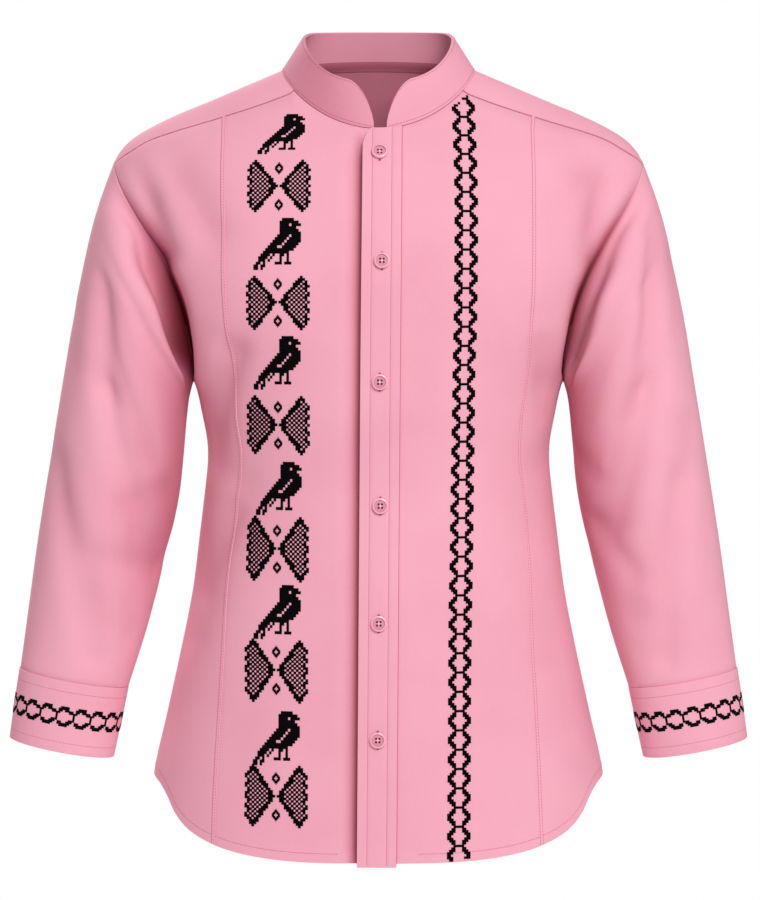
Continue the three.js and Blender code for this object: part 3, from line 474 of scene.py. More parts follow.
# soft folds by angle round the arm and reach down it: from, to, width, depth; angle 90 is the front
sleeveFolds = {
    "right": [
        (122, 0.7, 84, 1.1, 14, -4), (84, 1.1, 42, 1.5, 14, -4), (124, 2.6, 105, 4.6, 14, 5),
        (105, 4.6, 56, 7.1, 15, 6), (88, 7.9, 20, 7.9, 14, 5), (154, 6.4, 72, 9.6, 14, 4.5),
        (240, 3.2, 300, 6.3, 16, 6), (215, 6.2, 262, 8.4, 15, 5), (290, 7.4, 345, 7.5, 14, 5),
    ],
    "left": [
        (124, 0.7, 86, 1.1, 14, -4), (86, 1.1, 44, 1.5, 14, -4), (122, 2.4, 103, 4.5, 15, 5),
        (103, 4.5, 55, 7, 16, 6.5), (30, 6.9, 60, 8, 13, 4.5), (120, 6.6, 74, 9.6, 14, 4.5),
        (238, 3, 296, 6.4, 17, 6), (220, 6.6, 266, 8.2, 15, 5), (286, 7.6, 340, 7.4, 14, 5),
    ],
}
sleeveCreases = {
    "right": [
        (13, 11, 15, [(122, 0.42), (100, 0.5), (76, 0.55), (50, 0.55), (30, 0.5)]),
        (-3.2, 12, 12, [(150, 0.7), (120, 1.05), (88, 1.4), (52, 1.55), (22, 1.5)]),
        (2.6, 7, 13, [(124, 2.5), (104, 3.6), (84, 4.3), (66, 5.0), (52, 5.8)]),
        (-1.6, 12, 9, [(110, 1.8), (88, 2.5), (64, 3.6), (46, 4.9), (40, 5.7)]),
        (2.6, 8, 13, [(94, 6.8), (68, 6.6), (46, 6.2), (20, 5.7)]),
        (-1.5, 9, 9, [(86, 7.2), (62, 7.05), (36, 6.8)]),
        (1.9, 8, 12, [(74, 7.8), (50, 7.55), (20, 7.2)]),
        (1.5, 9, 9, [(56, 8.1), (44, 8.8), (32, 9.4)]),
        (1.9, 11, 7, [(148, 6.0), (134, 6.7), (112, 7.5), (90, 8.25), (58, 9.2)]),
        (-1.3, 10, 10, [(124, 6.4), (100, 7.4), (72, 8.35), (48, 9.1)]),
        (1.2, 9, 14, [(166, 3.4), (152, 4.3), (138, 4.9)]),
        (2.4, 14, 8, [(208, 2.4), (230, 3.2), (262, 4.3), (284, 5.6)]),
        (2.2, 8, 14, [(286, 1.9), (306, 2.8), (322, 4.1)]),
        (2.6, 9, 14, [(240, 5.6), (276, 6.0), (312, 6.1), (344, 5.8)]),
        (2.1, 12, 8, [(226, 7.0), (250, 7.7), (276, 8.3), (298, 8.4)]),
        (1.6, 10, 12, [(196, 8.0), (214, 8.7), (228, 9.4)]),
        (1.5, 8, 10, [(322, 8.0), (308, 8.8), (300, 9.5)]),
    ],
    "left": [
        (6, 9, 12, [(112, 0.34), (88, 0.4), (66, 0.42), (44, 0.42), (28, 0.4)]),
        (-2.6, 12, 12, [(138, 0.8), (112, 1.1), (84, 1.4), (52, 1.55), (24, 1.5)]),
        (2.6, 7, 13, [(146, 0.9), (128, 1.9), (119, 2.7), (104, 3.4), (90, 4.05), (72, 5.0)]),
        (2.2, 8, 12, [(98, 3.95), (80, 4.6), (68, 5.4), (50, 6.45), (28, 7.7)]),
        (2.3, 8, 11, [(0, 4.45), (26, 5.2), (44, 5.8), (58, 5.75)]),
        (-1.4, 9, 9, [(84, 2.6), (66, 3.5), (50, 4.7)]),
        (1.7, 12, 8, [(150, 5.3), (126, 6.4), (106, 7.25), (92, 7.95), (76, 8.6)]),
        (-1.2, 10, 10, [(132, 7.1), (106, 8.0), (84, 8.9)]),
        (1.7, 8, 11, [(38, 8.65), (62, 8.75), (78, 9.05)]),
        (1.4, 9, 9, [(76, 9.1), (60, 9.4), (40, 9.7)]),
        (1.2, 9, 12, [(164, 2.2), (154, 3.3), (140, 4.2)]),
        (2.3, 14, 8, [(204, 2.0), (228, 3.0), (258, 4.0), (282, 5.3)]),
        (2.1, 8, 14, [(292, 1.7), (310, 2.6), (326, 3.9)]),
        (2.5, 9, 14, [(236, 5.8), (270, 6.3), (306, 6.2), (342, 6.0)]),
        (2.0, 12, 8, [(222, 7.2), (252, 7.8), (280, 8.1)]),
        (1.5, 10, 12, [(200, 8.2), (216, 8.9), (230, 9.5)]),
        (1.4, 8, 10, [(328, 7.9), (314, 8.7), (304, 9.4)]),
    ],
}
inMm = np.array([sleeveCloth["mmPerDegree"], sleeveCloth["mmPerReach"]])
widen = sleeveCloth["creaseWidths"]
for sideName in sides:
    sleeveFolds[sideName] = [(*inMm * fold[:2], *inMm * fold[2:4], *fold[4:]) for fold in sleeveFolds[sideName]]
    sleeveCreases[sideName] = toCreases([(depth, left * widen, right * widen, inMm * line)
                                         for depth, left, right, line in sleeveCreases[sideName]])


def armRingPoint(ring, angle):
    cosine, sine = np.cos(np.radians(angle)), np.sin(np.radians(angle))
    return np.stack([
        mix(ring["outerX"], ring["innerX"], (1 + cosine) / 2),
        ring["middleY"] - ring["halfDepth"] * sine,
        mix(ring["outerZ"], ring["innerZ"], (1 + cosine) / 2),
    ], axis=-1)


def bareSleevePoint(angle, reach):
    angle, reach = np.broadcast_arrays(np.asarray(angle, float), np.asarray(reach, float))
    point = armRingPoint(readTable(sleeveRings, "reach", reach), angle)
    nearArmpit = ((1 + np.cos(np.radians(angle))) / 2) ** 4
    blend = 1 - smooth(reach / mix(armholeBlend["outside"], armholeBlend["armpit"], nearArmpit))
    firstRing = {name: column[0] for name, column in sleeveRings.items()}
    place = armholePlace(angle, seamGap / armhole["halfHeight"])
    seam = bodySurface(place["angle"], place["level"])
    return point + (seam - armRingPoint(firstRing, angle)) * blend[..., None]


def sleevePoint(side, angle, reach):
    angle, reach = np.broadcast_arrays(np.asarray(angle, float), np.asarray(reach, float))
    lastReach = sleeveCloth["lastReach"]
    around = bareSleevePoint(angle + 2, reach) - bareSleevePoint(angle - 2, reach)
    along = (bareSleevePoint(angle, np.minimum(reach + 0.1, lastReach))
             - bareSleevePoint(angle, np.maximum(reach - 0.1, 0)))
    normal = unit(np.cross(around, along))
    depth = sum(foldDepth((angle + lap) * sleeveCloth["mmPerDegree"], reach * sleeveCloth["mmPerReach"],
                          sleeveFolds[side], sleeveCreases[side]) for lap in (-360, 0, 360))
    settle = smooth(reach / 0.6) * smooth((lastReach - reach) / 0.5)
    point = bareSleevePoint(angle, reach) + normal * (depth * settle)[..., None]
    return point * [sides[side], 1, 1]


def cuffPoint(side, angle, height):
    angle, height = np.broadcast_arrays(np.asarray(angle, float), np.asarray(height, float))
    return armRingPoint(readTable(cuffRings, "height", height), angle) * [sides[side], 1, 1]


# the collar and the placket

collarTop = {"halfWidth": 67, "front": 63, "back": 52, "sideZ": 34, "backZ": 37.5, "frontZ": -13, "square": 2.5,
             "sideDip": 3.4}
collarCorner = {"reach": 24, "endHeight": 0.14}
placket = {"halfWidth": 17, "topX": 3.4, "bottomX": -1.6, "topLevel": -1.2,
           "cornerWidth": 9.2, "cornerDrop": 21, "cornerPower": 2.1, "cornerFade": 40, "thickness": 2.0,
           "stitchAt": 8.5, "channel": 0.45, "channelWidth": 0.55}


def collarTopPoint(angle):
    sine, cosine = np.sin(np.radians(angle)), np.cos(np.radians(angle))
    power = 2 / collarTop["square"]
    depth = np.where(cosine > 0, -collarTop["front"], collarTop["back"])
    endZ = np.where(cosine > 0, collarTop["frontZ"], collarTop["backZ"])
    return np.stack([
        collarTop["halfWidth"] * np.sign(sine) * np.abs(sine) ** power,
        depth * np.abs(cosine) ** power,
        mix(collarTop["sideZ"], endZ, np.abs(cosine)) - collarTop["sideDip"] * np.exp(-(cosine / 0.3) ** 2),
    ], axis=-1)


def collarPoint(angle, share):
    angle, share = np.broadcast_arrays(np.asarray(angle, float), np.asarray(share, float))
    base = ringPoint(angle, 0)
    end = np.where(base[..., 0] < 1.6, -collarEnd["right"], collarEnd["left"])
    reach = np.clip(np.abs(base[..., 0] - end) / collarCorner["reach"], 0, 1)
    height = np.maximum(np.sqrt(1 - (1 - reach) ** 2), collarCorner["endHeight"])
    height = np.where(np.cos(np.radians(angle)) > 0, height, 1)
    base[..., 2] += 0.1
    return base + (collarTopPoint(angle) - base) * (share * height)[..., None]


def placketMiddle(level):
    return mix(placket["topX"], placket["bottomX"], level / hemLevel["front"])


def placketPoint(offset, level, lift=0.0):
    # offset runs from the fold on the right-hand side, level down the front
    angle = angleAtX(placketMiddle(level) + offset, level)
    normal = surfaceNormal(ringPoint, angle, level)
    height = np.asarray(placket["thickness"] + seamGap + lift, float)[..., None]
    return ringPoint(angle, level) + normal * height, normal


# meshes from grids of points

def selectOnly(piece):
    bpy.ops.object.select_all(action="DESELECT")
    piece.select_set(True)
    bpy.context.view_layer.objects.active = piece


def editWhole(piece, operation, **settings):
    selectOnly(piece)
    bpy.ops.object.mode_set(mode="EDIT")
    bpy.ops.mesh.select_all(action="SELECT")
    operation(**settings)
    bpy.ops.object.mode_set(mode="OBJECT")


def applyModifier(piece, kind, settings):
    modifier = piece.modifiers.new(kind.lower(), kind)
    for name, value in settings.items():
        setattr(modifier, name, value)
    selectOnly(piece)
    bpy.ops.object.modifier_apply(modifier=modifier.name)


def finishPiece(piece, material, smoothAngle=45):
    selectOnly(piece)
    bpy.ops.object.shade_smooth_by_angle(angle=math.radians(smoothAngle))
    if material:
        piece.data.materials.clear()
        piece.data.materials.append(material)
    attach(piece, "root")
    return piece


def meshObject(name, vertices, faces, uv=None):
    mesh = bpy.data.meshes.new(name)
    mesh.from_pydata((np.asarray(vertices) * metre).tolist(), [], faces.tolist() if hasattr(faces, "tolist") else faces)
    if uv is not None:
        layer = mesh.uv_layers.new(name="clothMap")
        corners = np.empty(len(mesh.loops), dtype=int)
        mesh.loops.foreach_get("vertex_index", corners)
        layer.data.foreach_set("uv", np.asarray(uv)[corners].ravel())
    piece = bpy.data.objects.new(name, mesh)
    bpy.context.scene.collection.objects.link(piece)
    return piece


def gridNormals(points, closedRound):
    if closedRound:
        across = np.roll(points, -1, axis=1) - np.roll(points, 1, axis=1)
    else:
        across = np.gradient(points, axis=1)
    return unit(np.cross(np.gradient(points, axis=0), across))


def outwardNormals(points):
    # normals of a ring-by-ring grid, away from the middle of each ring
    normals = gridNormals(points, True)
    outward = np.sum(normals * (points - points.mean(axis=1, keepdims=True)), axis=-1)
    return normals * np.sign(np.median(outward))


def clothMap(points, closedRound):
    # how far every point lies across and down the cloth, in mm
    if closedRound:
        points = np.concatenate([points, points[:, :1]], axis=1)
    across = np.zeros(points.shape[:2])
    across[:, 1:] = np.cumsum(np.linalg.norm(np.diff(points, axis=1), axis=-1), axis=1)
    across -= across.mean(axis=1, keepdims=True)
    down = np.zeros(points.shape[:2])
    down[1:] = np.cumsum(np.linalg.norm(np.diff(points, axis=0), axis=-1), axis=0)
    return np.stack([across, down], axis=-1)


def rollEdges(points, normals, edges, run=1.5):
    # beside a seam the cloth turns down into it, on one more row or column of points
    grid = np.concatenate([points, normals], axis=-1)
    for edge, drop in edges.items():
        across, step = edge in ("left", "right"), -1 if edge in ("bottom", "right") else 1
        grid = (grid.transpose(1, 0, 2) if across else grid)[::step]
        inwards = unit(grid[1, :, :3] - grid[0, :, :3])
        first, second = grid[0].copy(), grid[0].copy()
        first[:, :3] += inwards * seamGap / 2 - grid[0, :, 3:6] * drop
        second[:, :3] += inwards * run
        grid = np.concatenate([first[None], second[None], grid[1:]])[::step]
        grid = grid.transpose(1, 0, 2) if across else grid
    return grid[..., :3], grid[..., 3:]


def clothPiece(name, node, points, normals, thickness, closedRound=False, edges=None, bevel=0.0, shade=None,
               inside=0.0):
    # shade is painted shade, how much the cloth's colour is darkened where it lies between folds; inside is painted
    # shade added on its hidden face
    shade = np.zeros(points.shape[:2]) if shade is None else np.broadcast_to(shade, points.shape[:2])
    normals = np.concatenate([normals, shade[..., None]], axis=-1)
    if edges:
        points, normals = rollEdges(points, normals, edges)
    rows, columns = points.shape[:2]
    uv = clothMap(points, closedRound)
    if closedRound:
        points, normals = [np.concatenate([grid, grid[:, :1]], axis=1) for grid in (points, normals)]
        columns += 1
    normals, shade = normals[..., :3], normals[..., 3]
    index = np.arange(rows * columns).reshape(rows, columns)
    faces = np.stack([index[:-1, :-1], index[1:, :-1], index[1:, 1:], index[:-1, 1:]], axis=-1)
    falling, rising = points[1:, 1:] - points[:-1, :-1], points[:-1, 1:] - points[1:, :-1]
    facing = np.sum(np.cross(falling, rising) * normals[:-1, :-1], axis=-1)
    faces = faces.reshape(-1, 4)
    if np.median(facing) < 0:
        faces = faces[:, ::-1]
    piece = meshObject(name, points.reshape(-1, 3), faces, uv.reshape(-1, 2))
    piece.data.attributes.new("paintedShade", "FLOAT", "POINT").data.foreach_set("value", shade.ravel())
    if closedRound:
        editWhole(piece, bpy.ops.mesh.remove_doubles, threshold=1e-5)
    outerCount = len(piece.data.vertices)
    applyModifier(piece, "SOLIDIFY", {"thickness": thickness * metre, "offset": -1})
    # the new vertices are the cloth's hidden face: it keeps part of the outer face's painted shade and takes the inside
    # painted shade too
    folded = piece.data.attributes["paintedShade"].data
    values = np.empty(len(folded))
    folded.foreach_get("value", values)
    values[outerCount:] = values[outerCount:] * shadeScale["through"] + inside
    folded.foreach_set("value", values)
    if bevel:
        applyModifier(piece, "BEVEL", {"width": bevel * metre, "segments": 3, "limit_method": "ANGLE",
                                       "angle_limit": math.radians(55)})
    finishPiece(piece, cottonPoplin)
    if node:
        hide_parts(node)
    return piece


# materials

def linearColour(hexCode):
    channels = [int(hexCode[i:i + 2], 16) / 255 for i in (1, 3, 5)]
    return [*[c / 12.92 if c <= 0.04045 else ((c + 0.055) / 1.055) ** 2.4 for c in channels], 1.0]


def addNode(tree, kind, settings=None, links=None):
    node = tree.nodes.new(kind)
    for name, value in (settings or {}).items():
        if isinstance(name, str) and hasattr(node, name):
            setattr(node, name, value)
        else:
            node.inputs[name].default_value = value
    for name, source in (links or {}).items():
        tree.links.new(source, node.inputs[name])
    return node


def newMaterial(name, settings):
    material = bpy.data.materials.new(name)
    material.use_nodes = True
    tree = material.node_tree
    tree.nodes.clear()
    shader = addNode(tree, "ShaderNodeBsdfPrincipled", settings)
    addNode(tree, "ShaderNodeOutputMaterial", links={"Surface": shader.outputs["BSDF"]})
    return material, tree, shader


def textured(tree, kind, settings):
    # a texture laid by Object coordinates
    place = addNode(tree, "ShaderNodeTexCoord").outputs["Object"]
    return addNode(tree, kind, settings, {"Vector": place})


def addBump(tree, shader, height, strength, distance):
    bump = addNode(tree, "ShaderNodeBump", {"Strength": strength, "Distance": distance}, {"Height": height})
    tree.links.new(bump.outputs["Normal"], shader.inputs["Normal"])


def addRamp(tree, value, dark, light):
    ramp = addNode(tree, "ShaderNodeValToRGB", links={"Fac": value})
    ramp.color_ramp.elements[0].color, ramp.color_ramp.elements[1].color = linearColour(dark), linearColour(light)
    return ramp


# Combed cotton poplin, plain woven, piece-dyed and pressed: a fine even grain with a faint bloom.
# Its threads are 0.25 mm apart, too fine to show, so the grain is drawn 1.3 mm apart.
# the fold colour and the power after it are for the painted shade: the dark colour it mixes towards and how much it
# saturates the pink
poplin = {"colour": "#eeabbc", "deep": "#eba6b8", "light": "#f1b0c0", "fold": "#5e0b15", "paintedShadePower": 1.2,
          "grain": 1.3, "slub": 6, "slubWidth": 1.6, "patch": 90, "bump": 0.045}


def makePoplin():
    material, tree, shader = newMaterial("cotton_poplin_pink_with_painted_shade", {
        "Roughness": 0.82, "Specular IOR Level": 0.15, "Sheen Weight": 0.03, "Sheen Roughness": 0.45,
        "Sheen Tint": linearColour("#ffd9e2")})
    cloth = addNode(tree, "ShaderNodeUVMap", {"uv_map": "clothMap"}).outputs["UV"]
    warp, weft = [addNode(tree, "ShaderNodeTexWave", {
        "bands_direction": way, "Scale": 0.314 / poplin["grain"], "Distortion": 0.8, "Detail": 1.0,
        "Detail Scale": 0.6}, {"Vector": cloth}) for way in "XY"]
    weave = addNode(tree, "ShaderNodeMath", {"operation": "MULTIPLY"},
                    {0: warp.outputs["Fac"], 1: weft.outputs["Fac"]})
    slubPlace = addNode(tree, "ShaderNodeMapping", {"Scale": (1 / poplin["slub"], 1 / poplin["slubWidth"], 1)},
                        {"Vector": cloth})
    slub = addNode(tree, "ShaderNodeTexNoise", {"Scale": 1.0, "Detail": 3.0, "Roughness": 0.6},
                   {"Vector": slubPlace.outputs["Vector"]})
    dye = textured(tree, "ShaderNodeTexNoise", {"Scale": 1000 / poplin["patch"], "Detail": 2.0})
    uneven = addNode(tree, "ShaderNodeMath", {"operation": "MULTIPLY_ADD", 1: 0.45},
                     {0: slub.outputs["Fac"], 2: dye.outputs["Fac"]})
    ramp = addRamp(tree, uneven.outputs["Value"], poplin["deep"], poplin["light"])
    ramp.color_ramp.elements[0].position = 0.45
    ramp.color_ramp.elements.new(0.7).color = linearColour(poplin["colour"])
    # painted shade: the shade attribute on the cloth saturates the pink and mixes it towards the dark fold colour,
    # standing in for the shade between folds
    fold = addNode(tree, "ShaderNodeAttribute", {"attribute_name": "paintedShade"}).outputs["Fac"]
    power = addNode(tree, "ShaderNodeMath", {"operation": "MULTIPLY_ADD", 1: poplin["paintedShadePower"], 2: 1.0}, {0: fold})
    redder = addNode(tree, "ShaderNodeGamma", None, {"Color": ramp.outputs["Color"], "Gamma": power.outputs["Value"]})
    shadedColour = addNode(tree, "ShaderNodeMix", {"data_type": "RGBA", 7: linearColour(poplin["fold"])},
                       {0: fold, 6: redder.outputs["Color"]})
    tree.links.new(shadedColour.outputs[2], shader.inputs["Base Color"])
    height = addNode(tree, "ShaderNodeMath", {"operation": "MULTIPLY_ADD", 1: 0.6},
                     {0: slub.outputs["Fac"], 2: weave.outputs["Value"]})
    addBump(tree, shader, height.outputs["Value"], poplin["bump"], 0.0012)
    return material


# Spun thread: twisted strands, so fine slanting lines run over it and it shines a little along them.
def makeThread(name, dark, light, roughness, twist=0.5, sheen=0.2, gloss=0.25):
    material, tree, shader = newMaterial(name, {"Roughness": roughness, "Specular IOR Level": gloss,
                                                "Sheen Weight": sheen})
    slant = textured(tree, "ShaderNodeMapping", {"Rotation": (0.4, 0.7, 0.6)})
    strands = addNode(tree, "ShaderNodeTexWave", {"Scale": 314 / twist, "Distortion": 3.0, "Detail": 2.0},
                      {"Vector": slant.outputs["Vector"]})
    ramp = addRamp(tree, strands.outputs["Fac"], dark, light)
    tree.links.new(ramp.outputs["Color"], shader.inputs["Base Color"])
    addBump(tree, shader, strands.outputs["Fac"], 0.4, 0.0002)
    return material


# Polyester resin cast in sheets, turned and tumbled: an even satin gloss with faint paler clouds.
def makeResin(name, dark, light, roughness):
    material, tree, shader = newMaterial(name, {"Roughness": roughness, "Coat Weight": 0.25})
    clouds = textured(tree, "ShaderNodeTexNoise", {"Scale": 240.0, "Detail": 3.0})
    ramp = addRamp(tree, clouds.outputs["Fac"], dark, light)
    tree.links.new(ramp.outputs["Color"], shader.inputs["Base Color"])
    addBump(tree, shader, clouds.outputs["Fac"], 0.12, 0.0003)
    return material


# One even colour with a fine tooth: card rolled flat, or the dark painted shade in buttonhole slits and button holes.
def makePlain(name, colour, roughness):
    material, tree, shader = newMaterial(name, {"Base Color": linearColour(colour), "Roughness": roughness})
    grain = textured(tree, "ShaderNodeTexNoise", {"Scale": 40.0, "Detail": 4.0})
    addBump(tree, shader, grain.outputs["Fac"], 0.05, 0.001)
    return material


cottonPoplin = makePoplin()
topstitchThread = makeThread("cotton_sewing_thread_pink", "#bd5a71", "#cb6c83", 0.7)
buttonThread = makeThread("cotton_sewing_thread_pale", "#fbe4e9", "#fff2f5", 0.6)
embroideryThread = makeThread("stranded_cotton_black", "#020102", "#070506", 0.7, 0.7, 0.0, 0.06)
# a dark colour of painted shade, put in buttonhole slits and button holes
buttonholeShade = makePlain("painted_shade_slits_and_holes", "#6a1f2e", 0.9)
castResin = makeResin("polyester_resin_polished", "#f2adbd", "#f8bfcc", 0.3)
# the dish: the same resin with a duller turned finish, coloured darker as painted shade for its hollow
shadedDishResin = makeResin("polyester_resin_turned_painted_shade", "#d98a9c", "#df96a8", 0.62)
print("materials made")


# the cloth pieces

cloth = {"panel": 1.0, "sleeve": 1.0, "placket": 2.0, "collar": 2.6, "cuff": 1.7}


# how much painted shade darkens the crevice at the armhole: by turn round it, with its reach down the sleeve in mm
creviceShade = table("turn shade reach", [
    (0, 0.6, 14), (20, 0.95, 26), (50, 1, 29), (80, 0.9, 23), (105, 0.55, 16), (130, 0.2, 10), (155, 0, 8),
    (200, 0, 8), (240, 0.12, 12), (290, 0.4, 20), (330, 0.5, 18), (360, 0.6, 14),
])
# how strong and how wide the painted shade is in each place
shadeScale = {"perDepth": 0.016, "bodyReach": 5.5, "bodyFade": 20, "fadeShare": 0.13, "inside": 0.31, "through": 0.5,
              "placket": 0.5, "placketReach": 6, "innerSleeve": {"right": 0.26, "left": 0.24},
              "innerAngle": 18, "innerWidth": 42, "reach": {"right": 1.05, "left": 0.55},
              "collar": 0.03, "collarSide": 0.18, "collarInside": 0.11, "neckStrip": 0.3}


# painted shade on the torso: darker along its creases and in the crevice beside the armhole
def torsoShade(angle, level):
    shade = np.maximum(torsoFolds(angle, ringPoint(angle, level), [], []), 0) * shadeScale["perDepth"]
    height, turn, fromSide, edge, gap = besideArmhole(angle, level)
    gap = np.hypot(gap, np.maximum(np.abs(height) - 1, 0) * armhole["halfHeight"])
    deep = readTable(creviceShade, "turn", np.where(fromSide > 0, turn, 360 - turn))["shade"]
    beside = np.exp(-(gap / shadeScale["bodyReach"]) ** 2)
    beside = beside + shadeScale["fadeShare"] * np.exp(-(gap / shadeScale["bodyFade"]) ** 2)
    return np.clip(shade + deep * beside, 0, 1)


# painted shade on the sleeve: darker in the crevice at the armhole, along the inner side by the body and along its
# creases
def sleeveShade(side, angle, reach):
    angle, reach = np.broadcast_arrays(angle, reach)
    deep = readTable(creviceShade, "turn", angle)
    down = reach * sleeveCloth["mmPerReach"]
    shade = deep["shade"] * np.exp(-(down / (deep["reach"] * shadeScale["reach"][side])) ** 2)
    for lap in (-360, 0, 360):
        fromInner = (angle + lap - shadeScale["innerAngle"]) / shadeScale["innerWidth"]
        shade = shade + (shadeScale["innerSleeve"][side] * np.exp(-fromInner ** 2) * smooth(reach / 1.5)
                         * smooth((9.6 - reach) / 3))
        for crease in sleeveCreases[side]:
            if 0 < crease["depth"] < 12:
                depth = creaseDepth((angle + lap) * sleeveCloth["mmPerDegree"], down, crease)
                shade = shade + depth * shadeScale["perDepth"]
    return np.clip(shade, 0, 1)


def torsoShell(name, node, grid, edges, overlap=False):
    points = bodySurface(grid["angle"], grid["level"])
    normals = surfaceNormal(bodySurface, grid["angle"], grid["level"])
    shade = torsoShade(grid["angle"], grid["level"])
    if overlap:
        # painted shadow: the placket's left edge darkens the right front panel beside it
        edge = placketMiddle(grid["level"]) - placket["halfWidth"]
        beside = np.exp(-((edge - points[..., 0]) / shadeScale["placketReach"]) ** 2)
        beside = beside * smooth(-grid["level"] / 40)
        shade = np.maximum(shade, shadeScale["placket"] * beside)
    return clothPiece(name, node, points, normals, cloth["panel"], edges=edges, shade=shade,
                      inside=shadeScale["inside"])


pieces = {}
pieces["back"] = torsoShell("back_panel", "back", backGrid(), {"top": 0.9, "left": 0.25, "right": 0.25})
pieces["yoke"] = torsoShell("shoulder_yoke", "yoke", yokeGrid(), {"bottom": -0.15, "left": -0.15, "right": -0.15})
roundAngles = np.concatenate([armholeTurns["front"][:0:-1], armholeTurns["shoulder"], armholeTurns["back"][1:-1]])
roundAngles = np.concatenate([[0.0], roundAngles[roundAngles > 0]])
for sideName, sign in sides.items():
    centreGrid, sideGrid = frontCentreGrid(sideName), frontSideGrid(sideName)
    centreGrid["angle"] = centreGrid["angle"] * sign
    sideGrid["angle"] = sideGrid["angle"] * sign
    pieces["centre_" + sideName] = torsoShell(f"front_panel_{sideName}", f"front_{sideName}_centre", centreGrid,
                                              {"top": 0.9, "right": 0.4}, sign < 0)
    pieces["side_" + sideName] = torsoShell(f"side_panel_{sideName}", f"front_{sideName}_side", sideGrid,
                                            {"top": 0.9, "left": 0.4, "right": 0.25})
    reaches = np.linspace(0, sleeveCloth["lastReach"], cutSteps["sleeve"] + 1)[:, None]
    sleevePoints = sleevePoint(sideName, roundAngles[None], reaches)
    shade = np.concatenate([sleeveShade(sideName, roundAngles[None], reaches), np.zeros((2, len(roundAngles)))])
    # the end of the sleeve tucks into the cuff
    tuckedIn = [cuffPoint(sideName, roundAngles, height) for height in (0.012, 0.07)]
    tuckedIn = np.stack([ring + unit(ring.mean(axis=0) - ring) * sleeveCloth["tuckIn"] for ring in tuckedIn])
    sleevePoints = np.concatenate([sleevePoints, tuckedIn])
    sleeveNormals = outwardNormals(sleevePoints)
    pieces["sleeve_" + sideName] = clothPiece(f"sleeve_cloth_{sideName}", f"sleeve_{sideName}", sleevePoints,
                                              sleeveNormals, cloth["sleeve"], True, {"top": 0.5}, shade=shade,
                                              inside=shadeScale["inside"])
    heights = np.linspace(0, 1, cutSteps["cuff"] + 1)[:, None]
    cuffPoints = cuffPoint(sideName, roundAngles[None], heights)
    pieces["cuff_" + sideName] = clothPiece(f"cuff_band_{sideName}", f"cuff_{sideName}", cuffPoints,
                                            outwardNormals(cuffPoints), cloth["cuff"], True, bevel=0.5)
print("torso, sleeves and cuffs made")

neckRight, neckLeft = neckColumns("right")[1:], neckColumns("left")[1:]
behindAngles = np.linspace(-yokeNeckAngle, yokeNeckAngle - 360, cutSteps["neckBack"] + 1)
collarAngles = np.concatenate([-angleAtX(neckRight, 0.0), behindAngles, angleAtX(neckLeft, 0.0)[::-1] - 360])
collarShares = np.linspace(1, 0, cutSteps["collar"] + 1)[:, None]
collarPoints = collarPoint(collarAngles[None], collarShares)
collarNormals = gridNormals(collarPoints, False)
collarNormals *= np.sign(np.sum(collarNormals * (collarPoints - [0, -5, -20]), axis=-1, keepdims=True))
# painted shade on the collar, most on its right front
collarShade = shadeScale["collar"] + shadeScale["collarSide"] * np.exp(-((collarAngles + 42) / 34) ** 2)
pieces["collar"] = clothPiece("band_collar", "collar", collarPoints, collarNormals, cloth["collar"], bevel=1.1,
                              shade=collarShade[None],
                              inside=shadeScale["collarInside"])

placketOffsets = np.array([-17, -16.4, -15.6, -14.5, -13.2, -11.8, -10.4, -9.4, -8.9, -8.5, -8.1, -7.6, -4, 0, 4,
                           7.6, 8.1, 8.5, 8.9, 9.4, 12, 14.5, 16.2, 17])
panelLevels = np.concatenate([[placket["topLevel"]], np.linspace(-4, -690, 140), [-693.0]])
reachIn = np.clip((placketOffsets + placket["halfWidth"]) / placket["cornerWidth"], 0, 1)
cornerDrop = placket["cornerDrop"] * (1 - reachIn) ** placket["cornerPower"]
keep = np.exp(-np.maximum(placket["topLevel"] - panelLevels, 0) / placket["cornerFade"])[:, None]
placketLevels = panelLevels[:, None] - cornerDrop[None] * keep
channel = sum(placket["channel"] * np.exp(-((placketOffsets - at) / placket["channelWidth"]) ** 2)
              for at in (-placket["stitchAt"], placket["stitchAt"]))
placketPoints, placketNormals = placketPoint(placketOffsets[None], placketLevels, -channel)
pieces["placket"] = clothPiece("button_placket", "placket", placketPoints, placketNormals, cloth["placket"], bevel=0.5)
print("collar and placket made")


# inside, the allowances of every seam are felled flat: a narrow strip of cloth lies behind it

strip = {"halfWidth": 4.5, "behind": 1.2, "thickness": 0.5, "armReach": 0.1, "bodyShrink": -0.04}


def torsoStrip(name, angle, level):
    seam = bodySurface(angle, level)
    normal = surfaceNormal(bodySurface, angle, level)
    across = unit(np.cross(normal, np.gradient(seam, axis=0)))
    grid = np.stack([seam + across * strip["halfWidth"] * place - normal * strip["behind"]
                     for place in (-1, -0.5, 0, 0.5, 1)], axis=1)
    # the strip takes painted shade
    clothPiece(name, None, grid, np.repeat(normal[:, None], 5, axis=1), strip["thickness"],
                              shade=shadeScale["inside"])


